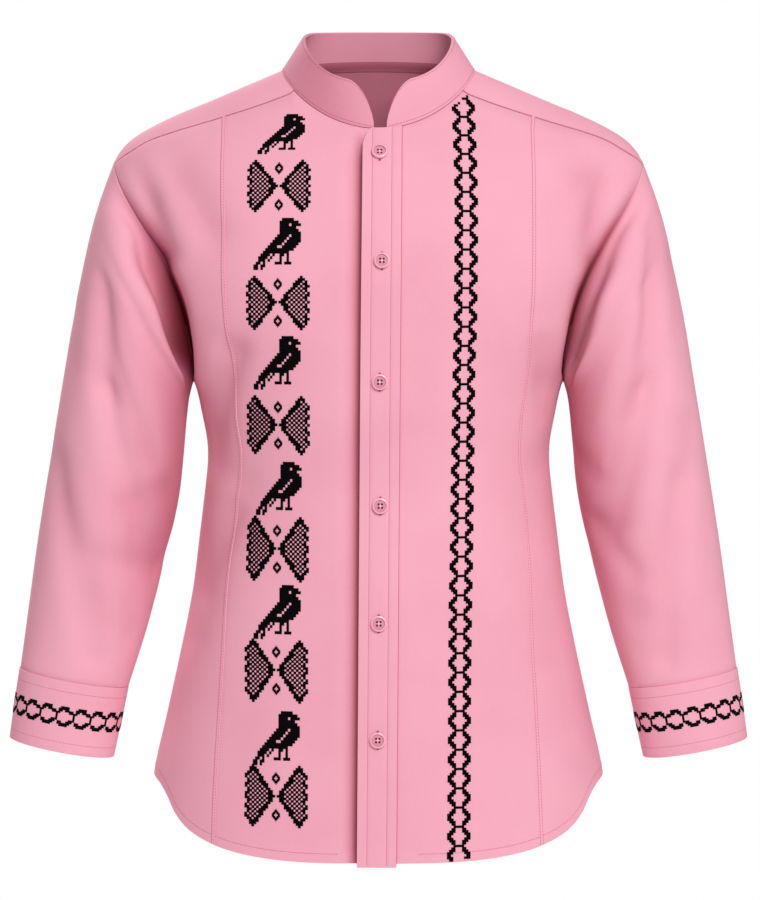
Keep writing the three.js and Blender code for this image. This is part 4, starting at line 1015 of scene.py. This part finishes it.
yokeSeam = yokeSeamPlaces()
for sideName, sign in sides.items():
    torsoStrip(f"yoke_seam_{sideName}", sliced(yokeSeam, 1)["angle"] * sign, sliced(yokeSeam, 1)["level"])
    torsoStrip(f"side_seam_{sideName}", np.full(len(sideLevels) - 2, 90.0 * sign), sideLevels[1:-1])
    turns = np.linspace(0, 360, 181)[:-1]
    onBody, onSeam = armholePlace(turns, strip["bodyShrink"]), armholePlace(turns)
    bodyPoint = bodySurface(onBody["angle"] * sign, onBody["level"])
    seamPoint = bodySurface(onSeam["angle"] * sign, onSeam["level"])
    bodyNormal = surfaceNormal(bodySurface, onBody["angle"] * sign, onBody["level"])
    armPoints = sleevePoint(sideName, turns[None], np.array([0, 0.5, 1])[:, None] * strip["armReach"])
    armPoint, armNormal = armPoints[2], outwardNormals(armPoints)[2]
    grid = [bodyPoint - bodyNormal * strip["behind"], seamPoint - bodyNormal * (strip["behind"] + 0.05),
            seamPoint - unit(bodyNormal + armNormal) * (strip["behind"] + 0.4),
            seamPoint - armNormal * (strip["behind"] + 0.05), armPoint - armNormal * strip["behind"]]
    facing = [bodyNormal, bodyNormal, unit(bodyNormal + armNormal), armNormal, armNormal]
    # the armhole strip takes the crevice's painted shade
    clothPiece(f"armhole_seam_{sideName}", None, np.stack(grid), np.stack(facing),
                                               strip["thickness"], True,
                                               shade=readTable(creviceShade, "turn", turns)["shade"][None])
backSeamAngles = np.linspace(armholePlace(armhole["yokeBackTurn"])["angle"] + 1,
                             359 - armholePlace(armhole["yokeBackTurn"])["angle"], 150)
torsoStrip("yoke_seam_back", backSeamAngles, np.full(len(backSeamAngles), yokeBackLevel))
neckAngles = collarAngles[1:-1]
bandNormal = collarNormals[-3][1:-1]
bodyNormal = surfaceNormal(bodySurface, neckAngles, -2.0)
neckStrip = {"band": ((0.12, 2.45), (0.02, 2.5)), "body": ((-1.5, 1.3), (-4.5, 1.2))}
neckGrid = [collarPoint(neckAngles, share) - bandNormal * behind for share, behind in neckStrip["band"]]
neckGrid += [bodySurface(neckAngles, level) - bodyNormal * behind for level, behind in neckStrip["body"]]
# the neck strip takes painted shade on both faces
clothPiece("neck_seam", None, np.stack(neckGrid),
                            np.stack([bandNormal, bandNormal, bodyNormal, bodyNormal]), strip["thickness"],
                            shade=shadeScale["neckStrip"], inside=shadeScale["neckStrip"])
print("felled seams made")


# threads: each stitch is a short strand that rises from the cloth and goes back in

def repeated(rows, faces):
    # one small mesh at every place: rows holds an array of places for each of its vertices
    offsets = np.arange(len(rows[0]))[:, None, None] * len(rows)
    return np.stack(rows, axis=1).reshape(-1, 3), (np.array(faces)[None] + offsets).reshape(-1, 3)


def strandMesh(centre, along, normal, length, width, height, lift):
    side = unit(np.cross(normal, along))
    rows = []
    for place, wide, high in ((-0.5, 0, 0), (-0.28, 1, 0.9), (0.28, 1, 0.9), (0.5, 0, 0)):
        base = centre + along * place * length + normal * lift
        if wide:
            rows += [base + side * width / 2, base + normal * height * high, base - side * width / 2,
                     base - normal * height * 0.5]
        else:
            rows.append(base)
    faces = []
    for k in range(4):
        a, b = 1 + k, 1 + (k + 1) % 4
        faces += [(0, b, a), (a, b, b + 4), (a, b + 4, a + 4), (9, a + 4, b + 4)]
    return repeated(rows, faces)


def boxMesh(centre, along, normal, halfLength, halfWidth, top):
    side = unit(np.cross(normal, along))
    rows = [centre + along * sx * halfLength + side * sy * halfWidth + normal * h
            for h in (-0.25, top) for sx, sy in ((-1, -1), (1, -1), (1, 1), (-1, 1))]
    return repeated(rows, [(4, 5, 6), (4, 6, 7), (0, 2, 1), (0, 3, 2), (0, 1, 5), (0, 5, 4), (1, 2, 6), (1, 6, 5),
                           (2, 3, 7), (2, 7, 6), (3, 0, 4), (3, 4, 7)])


def joinMeshes(parts):
    vertices, faces, count = [], [], 0
    for points, triangles in parts:
        vertices.append(points)
        faces.append(triangles + count)
        count += len(points)
    return np.concatenate(vertices), np.concatenate(faces)


stitch = {"length": 2.1, "pitch": 2.6, "width": 0.5, "height": 0.26, "lift": 0.02}


def stitchRun(points, normals):
    # even stitches along a line of points
    length = np.concatenate([[0], np.cumsum(np.linalg.norm(np.diff(points, axis=0), axis=-1))])
    count = max(int(length[-1] / stitch["pitch"]), 1)
    at = (np.arange(count) + 0.5) * length[-1] / count

    def lineAt(where, values):
        return np.stack([np.interp(where, length, values[:, i]) for i in range(3)], axis=-1)
    ahead, behind = lineAt(at + 0.6, points), lineAt(at - 0.6, points)
    return strandMesh(lineAt(at, points), unit(ahead - behind), unit(lineAt(at, normals)), stitch["length"],
                      stitch["width"], stitch["height"], stitch["lift"])


stitchLines = {"cuff": (0.15, 0.86), "collar": (0.07, 0.955), "hem": 8.0, "yoke": 2.2, "yokeBehind": 0.2, "shadeLinePastFold": 0.4}
runs = []
# the third run lies just past the placket's fold, on the panel: dark thread standing in for the shade beside the fold,
# a painted shadow line
for offset, top, lift in ((-placket["stitchAt"], -2.5, -0.42), (placket["stitchAt"], -1.6, -0.42),
                          (placket["halfWidth"] + stitchLines["shadeLinePastFold"], -1.6, -1.7)):
    runs.append(stitchRun(*placketPoint(offset, np.linspace(top, hemLevel["front"] - 1, 320), lift)))
for sideName, sign in sides.items():
    for height in stitchLines["cuff"]:
        angles = np.linspace(0, 360, 241)
        ring = cuffPoint(sideName, angles, height)
        below = cuffPoint(sideName, angles, height + 0.02)
        runs.append(stitchRun(ring, unit(np.cross(below - ring, np.gradient(ring, axis=0))) * -sign))
bandNormals = collarNormals[cutSteps["collar"] // 2]
for share in stitchLines["collar"]:
    line = collarPoint(collarAngles, share) + bandNormals * 0.05
    runs.append(stitchRun(line[2:-2], bandNormals[2:-2]))


def torsoRun(angles, levels, behind=0.0):
    runs.append(stitchRun(bodySurface(angles, levels) + [0, behind, 0], surfaceNormal(bodySurface, angles, levels)))


for startAngle, endAngle, count in ((7.2, 90, 260), (90, 270, 420), (-7.4, -90, 260)):
    angles = np.linspace(startAngle, endAngle, count)
    torsoRun(angles, hemPlace(angles)["level"] + stitchLines["hem"])
torsoRun(backSeamAngles, yokeBackLevel + stitchLines["yoke"], stitchLines["yokeBehind"])


# a felled seam: a narrow flat band along the princess line, stitched down on both edges

band = {"halfWidth": 1.8, "rise": 0.55, "stitchAt": 1.25}


def seamBand(sideName, sign):
    princess = princessPlaces(sideName)
    levels = np.concatenate([princess["level"][:1] - 0.4, princess["level"][1:-1], princess["level"][-1:] + 0.4])
    angle = princess["angle"] * sign
    middle = bodySurface(angle, levels)
    normal = surfaceNormal(bodySurface, angle, levels)
    across = unit(np.cross(unit(np.gradient(middle, axis=0)), normal))
    section = [(-1, -0.3), (-0.9, 0.75), (-0.7, 1), (0, 1.05), (0.7, 1), (0.9, 0.75), (1, -0.3), (0, -0.6)]
    ring = np.stack([middle + across * band["halfWidth"] * x + normal * band["rise"] * y for x, y in section], axis=1)
    rows, columns = ring.shape[:2]
    index = np.arange(rows * columns).reshape(rows, columns)
    following = np.roll(index, -1, axis=1)
    faces = np.stack([index[:-1], following[:-1], following[1:], index[1:]], axis=-1).reshape(-1, 4).tolist()
    faces += [index[0][::-1].tolist(), index[-1].tolist()]
    uv = np.stack([np.broadcast_to(np.arange(columns) * 0.9, (rows, columns)),
                   np.broadcast_to(-levels[:, None], (rows, columns))], axis=-1)
    piece = meshObject(f"princess_seam_{sideName}", ring.reshape(-1, 3), faces, uv.reshape(-1, 2))
    editWhole(piece, bpy.ops.mesh.normals_make_consistent, inside=False)
    finishPiece(piece, cottonPoplin, 60)
    for offset in (-band["stitchAt"], band["stitchAt"]):
        runs.append(stitchRun(middle + across * offset + normal * band["rise"] * 0.95, normal))
    return piece


seamBands = {sideName: seamBand(sideName, sign) for sideName, sign in sides.items()}
stitching = meshObject("topstitching", *joinMeshes(runs))
finishPiece(stitching, topstitchThread, 60)
print("topstitching made:", len(stitching.data.polygons), "faces")


# cross-stitch charts: each mark is one crossed stitch on the square grid of the cloth

birdChart = """
............#####...
...........########.
...........####.####
...........#######..
...........########.
...........#########
..........#####.####
.........#####.#####
........#####.######
.......#####.######.
......####..######..
.....############...
....###########.....
...####.#..##.#.....
..####.#...#..#.....
..###.#....#..#.....
.##.#....###.###....
##.##...............
##.#................
""".split()
linkChart = """
..##...##..
...#####...
..##...##..
.###...###.
###.....###
##.......##
###.....###
.###...###.
""".split()
cuffChart = """
..####..
..#####.
####.##.
##....##
.......#
.......#
.......#
##.....#
###..##.
.######.
..####..
""".split()
diamondChart = """
...#...
..###..
.#####.
###.###
##...##
###.###
.#####.
..###..
...#...
""".split()
crossStitch = {"cell": 2.06, "width": 1.15, "low": 0.34, "high": 0.5, "ground": 0.22, "spread": 1.04,
               "latticeSpread": 1.18}
birdPlaces = [(-84.9, -41.2, -77.0), (-87.5, -132.8, -177.7), (-87.7, -234.7, -281.4), (-87.1, -344.1, -391.1),
              (-88.0, -450.7, -498.1), (-88.8, -559.4, -606.9)]
fanPlaces = [(-86.3, -82.2, -105.0, -127.6, 11), (-86.9, -182.9, -205.4, -229.5, 11),
             (-87.0, -286.6, -311.8, -338.0, 12), (-88.1, -392.0, -419.6, -448.1, 13),
             (-88.8, -498.1, -524.0, -552.5, 13), (-88.8, -606.1, -632.9, -659.8, 13)]
chainLine = table("z x", [
    (-27.3, 74.5), (-117.1, 76.0), (-203.6, 75.3), (-290.1, 74.1), (-377.3, 72.6), (-463.6, 71.6), (-549.9, 70.7),
    (-636.4, 69.8), (-689.3, 69.4),
])


def chartCells(chart):
    marks = np.array([[mark == "#" for mark in row] for row in chart])
    rows, columns = np.nonzero(marks)
    return columns - (marks.shape[1] - 1) / 2, rows + 0.5, marks.shape


def stitchedCells(x, z, cellX, cellZ, **form):
    # crossed stitches on the front at the given places
    place = placeOnFront(x, z)
    angle, level = place["angle"], place["level"]
    centre = bodySurface(angle, level)
    normal = surfaceNormal(bodySurface, angle, level)
    down = unit(np.array([[0.0, 0.0, -1.0]]) - normal * -normal[:, 2:3])
    across = unit(np.cross(normal, down))
    # a cell on cloth that slopes away is as much longer as it is seen shorter
    return crossedStitches(centre, across, down, normal, cellX / np.abs(across[:, 0]), cellZ / np.abs(down[:, 2]),
                           **form)


def crossedStitches(centre, across, down, normal, cellX, cellZ, spread=crossStitch["spread"],
                    width=crossStitch["width"]):
    cellX = np.broadcast_to(np.reshape(cellX, (-1, 1)), (len(centre), 1))
    cellZ = np.broadcast_to(np.reshape(cellZ, (-1, 1)), (len(centre), 1))
    parts = [boxMesh(centre, down, normal, cellZ * spread / 2, cellX * spread / 2, crossStitch["ground"])]
    for turn, height in ((1, crossStitch["low"]), (-1, crossStitch["high"])):
        diagonal = down * cellZ + across * cellX * turn
        length = np.linalg.norm(diagonal, axis=-1, keepdims=True) * 1.02
        parts.append(strandMesh(centre, unit(diagonal), normal, length, width, height, 0.12))
    return joinMeshes(parts)


def embroideredPiece(name, parts):
    piece = meshObject(name, *joinMeshes(parts))
    finishPiece(piece, embroideryThread, 35)
    print(name, len(piece.data.polygons), "faces")


cell = crossStitch["cell"]
birdParts = []
columns, rows, shape = chartCells(birdChart)
for x, top, bottom in birdPlaces:
    cellZ = (top - bottom) / shape[0]
    birdParts.append(stitchedCells(x + columns * cell, top - rows * cellZ, cell, cellZ))
embroideredPiece("embroidery_birds", birdParts)


fan = {"corner": 8.8, "widest": 12.1, "notch": 1.3, "toothHeight": 0.326, "apart": 0.9}
diamond = {"offsets": (15.4, -16.4), "cellX": 1.02, "cellZ": 1.2, "spread": 0.95, "width": 0.6}


def fanMarks(halfRows):
    # one lattice fan: its point at column 0, two straight slanting edges and five teeth on the outer side
    marks = []
    for row in range(-halfRows, halfRows + 1):
        height = abs(row) / halfRows
        first = round(fan["corner"] * height)
        edgeEnd = max(round(fan["corner"] * min(abs(row) + 1, halfRows) / halfRows) - 1, first)
        if height <= 2 * fan["toothHeight"]:
            last = fan["widest"] - fan["notch"] * (1 - math.cos(2 * math.pi * height / fan["toothHeight"])) / 2
        else:
            last = mix(fan["widest"], fan["corner"], (height / fan["toothHeight"] - 2) / (1 / fan["toothHeight"] - 2))
        last = max(round(last), first)
        for column in range(first, last + 1):
            if column <= edgeEnd + 1 or column == last or (column + row) % 2 == 0:
                marks.append((column, row))
    return np.array(marks, dtype=float).T


fanParts = []
columns, rows, shape = chartCells(diamondChart)
for x, top, middle, bottom, halfRows in fanPlaces:
    fanColumns, fanRows = fanMarks(halfRows)
    cellUp, cellDown = (top - middle) / (halfRows + 0.5), (middle - bottom) / (halfRows + 0.5)
    z = middle - fanRows * np.where(fanRows < 0, cellUp, cellDown)
    for mirror in (-1, 1):
        fanParts.append(stitchedCells(x + mirror * (fanColumns + fan["apart"]) * cell, z, cell,
                                      (cellUp + cellDown) / 2, spread=crossStitch["latticeSpread"]))
    for offset in diamond["offsets"]:
        fanParts.append(stitchedCells(x + columns * diamond["cellX"],
                                      middle + offset - (rows - shape[0] / 2) * diamond["cellZ"], diamond["cellX"],
                                      diamond["cellZ"], spread=diamond["spread"], width=diamond["width"]))
embroideredPiece("embroidery_fans", fanParts)

chain = {"pitch": 16.62, "start": -24.0, "cellX": 1.86, "yokeClear": 3.0, "hemClear": 1.6, "neckClear": 2.5}
columns, rows, shape = chartCells(linkChart)
chainParts = []
for link in range(-1, int((chain["start"] - hemLevel["front"]) / chain["pitch"]) + 2):
    z = chain["start"] - (link + rows / shape[0]) * chain["pitch"]
    x = readTable(chainLine, "z", z)["x"] + columns * chain["cellX"]
    seamZ = readTable(yokeFrontSeam, "x", np.maximum(x, yokeFrontSeam["x"][0]))["z"]
    hemZ = hemPlace(angleAtX(x, hemLevel["front"]))["level"]
    inside = (z < seamZ - chain["yokeClear"]) & (z > hemZ + chain["hemClear"])
    inside &= placeOnFront(x, z)["level"] < -chain["neckClear"]
    if inside.any():
        chainParts.append(stitchedCells(x[inside], z[inside], chain["cellX"], chain["pitch"] / shape[0]))
embroideredPiece("embroidery_chain", chainParts)

columns, rows, shape = chartCells(cuffChart)
columns, rows = rows - 5.5, columns + shape[1] / 2
cuffChain = {"links": 18, "middle": 0.5, "cellAcross": 1.6, "height": 62.3}
for sideName, sign in sides.items():
    denseAngles = np.linspace(0, 360, 1441)
    ring = cuffPoint(sideName, denseAngles, cuffChain["middle"])
    length = np.concatenate([[0], np.cumsum(np.linalg.norm(np.diff(ring, axis=0), axis=-1))])
    cell = length[-1] / (cuffChain["links"] * shape[1])
    at = np.concatenate([(link * shape[1] + rows) * cell for link in range(cuffChain["links"])])
    angles = np.interp(at, length, denseAngles)
    heights = cuffChain["middle"] + np.tile(columns, cuffChain["links"]) * cuffChain["cellAcross"] / cuffChain["height"]
    centre = cuffPoint(sideName, angles, heights)
    across = unit(cuffPoint(sideName, angles + 0.5, heights) - cuffPoint(sideName, angles - 0.5, heights))
    down = unit(cuffPoint(sideName, angles, heights + 0.02) - cuffPoint(sideName, angles, heights - 0.02))
    normal = unit(np.cross(down, across)) * -sign
    embroideredPiece(f"embroidery_cuff_{sideName}", [crossedStitches(centre, across, down, normal, cell,
                                                                     cuffChain["cellAcross"])])


# buttons: turned resin with a rim and four holes, sewn on crosswise

buttonForm = {"radius": 6.9, "thick": 2.6, "rimWidth": 1.7, "dish": 1.0, "holeRadius": 1.05, "holeOffset": 1.45,
              "stand": 0.6, "topRound": 0.65, "bottomRound": 0.5}
holeSides = [(-1, -1), (-1, 1), (1, -1), (1, 1)]
buttonPlaces = [(1.1, -77.3), (3.0, -170.3), (1.2, -274.0), (1.6, -381.5), (0.3, -482.7), (-0.6, -583.0)]
buttonhole = {"halfLength": 7.4, "halfWidth": 0.85, "cutEnd": 8.3}


def facesFacing(piece, axis, low, high):
    # selects the faces whose middle lies between two heights and that look along the axis
    bpy.ops.mesh.select_mode(type="FACE")
    bpy.ops.mesh.select_all(action="DESELECT")
    bpy.ops.object.mode_set(mode="OBJECT")
    for face in piece.data.polygons:
        face.select = face.normal.dot(axis) > 0.9 and low <= face.center.z <= high
    bpy.ops.object.mode_set(mode="EDIT")


def modelButton():
    form = buttonForm
    bpy.ops.object.select_all(action="DESELECT")
    bpy.ops.mesh.primitive_cylinder_add(vertices=48, radius=form["radius"] * metre, depth=form["thick"] * metre,
                                        location=(0, 0, form["thick"] / 2 * metre))
    button = bpy.context.active_object
    button.name = "button_model"
    bpy.ops.object.transform_apply(location=True)
    bpy.ops.object.mode_set(mode="EDIT")
    up, nearTop = Vector((0, 0, 1)), (form["thick"] - 0.05) * metre
    facesFacing(button, up, nearTop, 1)
    bpy.ops.mesh.bevel(offset=form["topRound"] * metre, segments=4, affect="EDGES")
    facesFacing(button, -up, -1, 0.05 * metre)
    bpy.ops.mesh.bevel(offset=form["bottomRound"] * metre, segments=3, affect="EDGES")
    facesFacing(button, up, nearTop, 1)
    bpy.ops.mesh.inset(thickness=(form["rimWidth"] - form["topRound"]) * metre)
    for width, share in ((0.35, 0.7), (0.4, 0.3)):
        bpy.ops.mesh.inset(thickness=width * metre)
        bpy.ops.transform.translate(value=(0, 0, -form["dish"] * share * metre))
    bpy.ops.object.mode_set(mode="OBJECT")
    for sideX, sideY in holeSides:
        bpy.ops.object.select_all(action="DESELECT")
        bpy.ops.mesh.primitive_cylinder_add(
            vertices=16, radius=form["holeRadius"] * metre, depth=10 * metre,
            location=(sideX * form["holeOffset"] * metre, sideY * form["holeOffset"] * metre, 0))
        drill = bpy.context.active_object
        applyModifier(button, "BOOLEAN", {"operation": "DIFFERENCE", "object": drill, "solver": "EXACT"})
        bpy.data.objects.remove(drill)
    button.data.materials.clear()
    for resin in (castResin, shadedDishResin, buttonholeShade):
        button.data.materials.append(resin)
    for face in button.data.polygons:
        out, height = math.hypot(face.center.x, face.center.y) / metre, face.center.z / metre
        # the walls of the four holes take the dark painted shade
        if abs(face.normal.z) < 0.3 and out < 3.2:
            face.material_index = 2
        # the dish takes the darker resin, painted shade for its hollow
        elif face.normal.z > 0.5 and out < form["radius"] - form["rimWidth"] and height < form["thick"] - 0.3:
            face.material_index = 1
    return button


def onPlacket(x, z):
    # points on the placket's outer face with the directions down, out and across
    place = placeOnFront(np.atleast_1d(x), np.atleast_1d(z))
    out = surfaceNormal(ringPoint, place["angle"], place["level"])
    down = unit(np.array([[0.0, 0.0, -1.0]]) + out * out[:, 2:3])
    spot = ringPoint(place["angle"], place["level"]) + out * (placket["thickness"] + seamGap)
    return spot, down, out, unit(np.cross(out, down))


buttonSeats = [onPlacket(x, z) for x, z in buttonPlaces]
sewing = {"length": 3.8, "width": 0.7, "apart": 0.2, "sunk": -0.2, "stemLength": 2.0, "stemWidth": 0.6, "turn": 1.05}
buttonModel = modelButton()
for number, (spot, down, out, across) in enumerate(buttonSeats):
    foot = spot + out * buttonForm["stand"]
    matrix = Matrix([[across[0, i], -down[0, i], out[0, i], foot[0, i] * metre] for i in range(3)] + [[0, 0, 0, 1]])
    copy = bpy.data.objects.new(f"shirt_button_{number + 1}", buttonModel.data.copy())
    bpy.context.scene.collection.objects.link(copy)
    copy.data.transform(matrix)
    finishPiece(copy, None, 40)
    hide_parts(f"button_{number + 1}")
    sewn = []
    top = foot + out * (buttonForm["thick"] - buttonForm["dish"] + 0.1)
    for direction, height in ((down, 0.55), (across, 0.7)):
        for shift in (-sewing["apart"], sewing["apart"]):
            besides = unit(np.cross(out, direction)) * shift
            sewn.append(strandMesh(top + besides, direction, out, sewing["length"], sewing["width"], height,
                                   sewing["sunk"]))
    for turn in range(3):
        direction = unit(down * math.cos(turn * sewing["turn"]) + across * math.sin(turn * sewing["turn"]))
        sewn.append(boxMesh(spot + out * 0.35, direction, out, sewing["stemLength"], sewing["stemWidth"], 0.35))
    thread = meshObject(f"button_thread_{number + 1}", *joinMeshes(sewn))
    finishPiece(thread, buttonThread, 60)

# each buttonhole: a loop of close stitches and a dark box of painted shade along its slit, with dark boxes of painted
# shade at the bottom of the button's four holes
holeRuns, paintedShadeParts = [], []
along = np.linspace(-1, 1, 25)
loopX = np.repeat([1.0, -1.0], 25) * buttonhole["halfWidth"]
loopZ = np.concatenate([along, along[::-1]]) * buttonhole["halfLength"]
for (x, z), (spot, down, out, across) in zip(buttonPlaces, buttonSeats):
    line, _, lineOut, _ = onPlacket(x + loopX, z + loopZ)
    holeRuns.append(strandMesh(line, unit(np.cross(lineOut, unit(np.gradient(line, axis=0)))), lineOut, 1.2, 0.56,
                               0.2, 0.0))
    paintedShadeParts.append(boxMesh(spot, down, out, buttonhole["cutEnd"], 0.42, 0.1))
    bottom = spot + out * (buttonForm["stand"] + buttonForm["thick"] - buttonForm["dish"] - 0.7)
    for sideX, sideY in holeSides:
        hole = bottom + (across * sideX + down * sideY) * buttonForm["holeOffset"]
        paintedShadeParts.append(boxMesh(hole, down, out, 1.0, 1.0, 0.3))
buttonholes = meshObject("buttonhole_stitches", *joinMeshes(holeRuns))
finishPiece(buttonholes, topstitchThread, 60)
slitAndHoleShade = meshObject("buttonhole_slit_and_hole_shade", *joinMeshes(paintedShadeParts))
finishPiece(slitAndHoleShade, buttonholeShade, 60)
bpy.data.objects.remove(buttonModel)
print("buttons made")


# what every cloth piece was cut to, in metres: width, length and the area of the cut piece

cutCloth = {
    "back": (0.56, 0.61, 0.25), "yoke": (0.5, 0.22, 0.069), "centre_right": (0.165, 0.67, 0.092),
    "centre_left": (0.165, 0.67, 0.092), "side_right": (0.16, 0.6, 0.057), "side_left": (0.16, 0.6, 0.057),
    "sleeve_right": (0.43, 0.52, 0.139), "sleeve_left": (0.43, 0.52, 0.139), "cuff_right": (0.285, 0.066, 0.0182),
    "cuff_left": (0.285, 0.066, 0.0182), "collar": (0.43, 0.045, 0.0155), "placket": (0.034, 0.7, 0.0235),
}
# each piece's cut size is read out
for name, piece in pieces.items():
    width, length, area = cutCloth[name]


# floor, light and camera

studio = {"floorRadius": 1.25, "floorZ": -1.02, "fill": 0.46, "fillColour": (1, 0.86, 0.885, 1),
          "keyPower": 88.0, "keyPlace": (1.0, -3.0, 1.55), "backPower": 82.0, "backPlace": (-1.5, 2.8, 1.6),
          "boxSize": 1.8, "aim": (0, 0, -0.3)}
view = {"place": (0.00135, -3.0, -0.170), "aim": (0.00135, 0, -0.3398), "sensor": 36, "lens": 133.55}
bpy.ops.object.select_all(action="DESELECT")
bpy.ops.mesh.primitive_circle_add(vertices=96, radius=studio["floorRadius"], fill_type="NGON",
                                  location=(0, 0, studio["floorZ"]))
floor = bpy.context.active_object
floor.name = "studio_floor"
bpy.ops.object.transform_apply(location=True)
floor.data.materials.append(makePlain("matt_card_pale", "#f3f2f1", 0.9))

world = bpy.data.worlds.new("white_studio")
bpy.context.scene.world = world
world.use_nodes = True
worldTree = world.node_tree
worldTree.nodes.clear()
seen = addNode(worldTree, "ShaderNodeBackground", {"Color": (1, 1, 1, 1), "Strength": 1.0})
lit = addNode(worldTree, "ShaderNodeBackground", {"Color": studio["fillColour"], "Strength": studio["fill"]})
path = addNode(worldTree, "ShaderNodeLightPath")
choice = addNode(worldTree, "ShaderNodeMixShader", None, {0: path.outputs["Is Camera Ray"], 1: lit.outputs[0],
                                                          2: seen.outputs[0]})
addNode(worldTree, "ShaderNodeOutputWorld", None, {"Surface": choice.outputs[0]})


def aimed(name, data, place, aim):
    lamp = bpy.data.objects.new(name, data)
    bpy.context.scene.collection.objects.link(lamp)
    lamp.location = place
    lamp.rotation_euler = (Vector(aim) - Vector(place)).to_track_quat("-Z", "Y").to_euler()
    return lamp


for name in ("key", "back"):
    light = bpy.data.lights.new(name + "_softbox", "AREA")
    light.energy, light.size, light.shape = studio[name + "Power"], studio["boxSize"], "DISK"
    aimed(name + "_softbox", light, studio[name + "Place"], studio["aim"])

camera = bpy.data.cameras.new("camera")
camera.sensor_fit, camera.sensor_height, camera.lens = "VERTICAL", view["sensor"], view["lens"]
bpy.context.scene.camera = aimed("camera", camera, view["place"], view["aim"])
bpy.context.scene.view_settings.view_transform = "Standard"
print("floor, light and camera set")
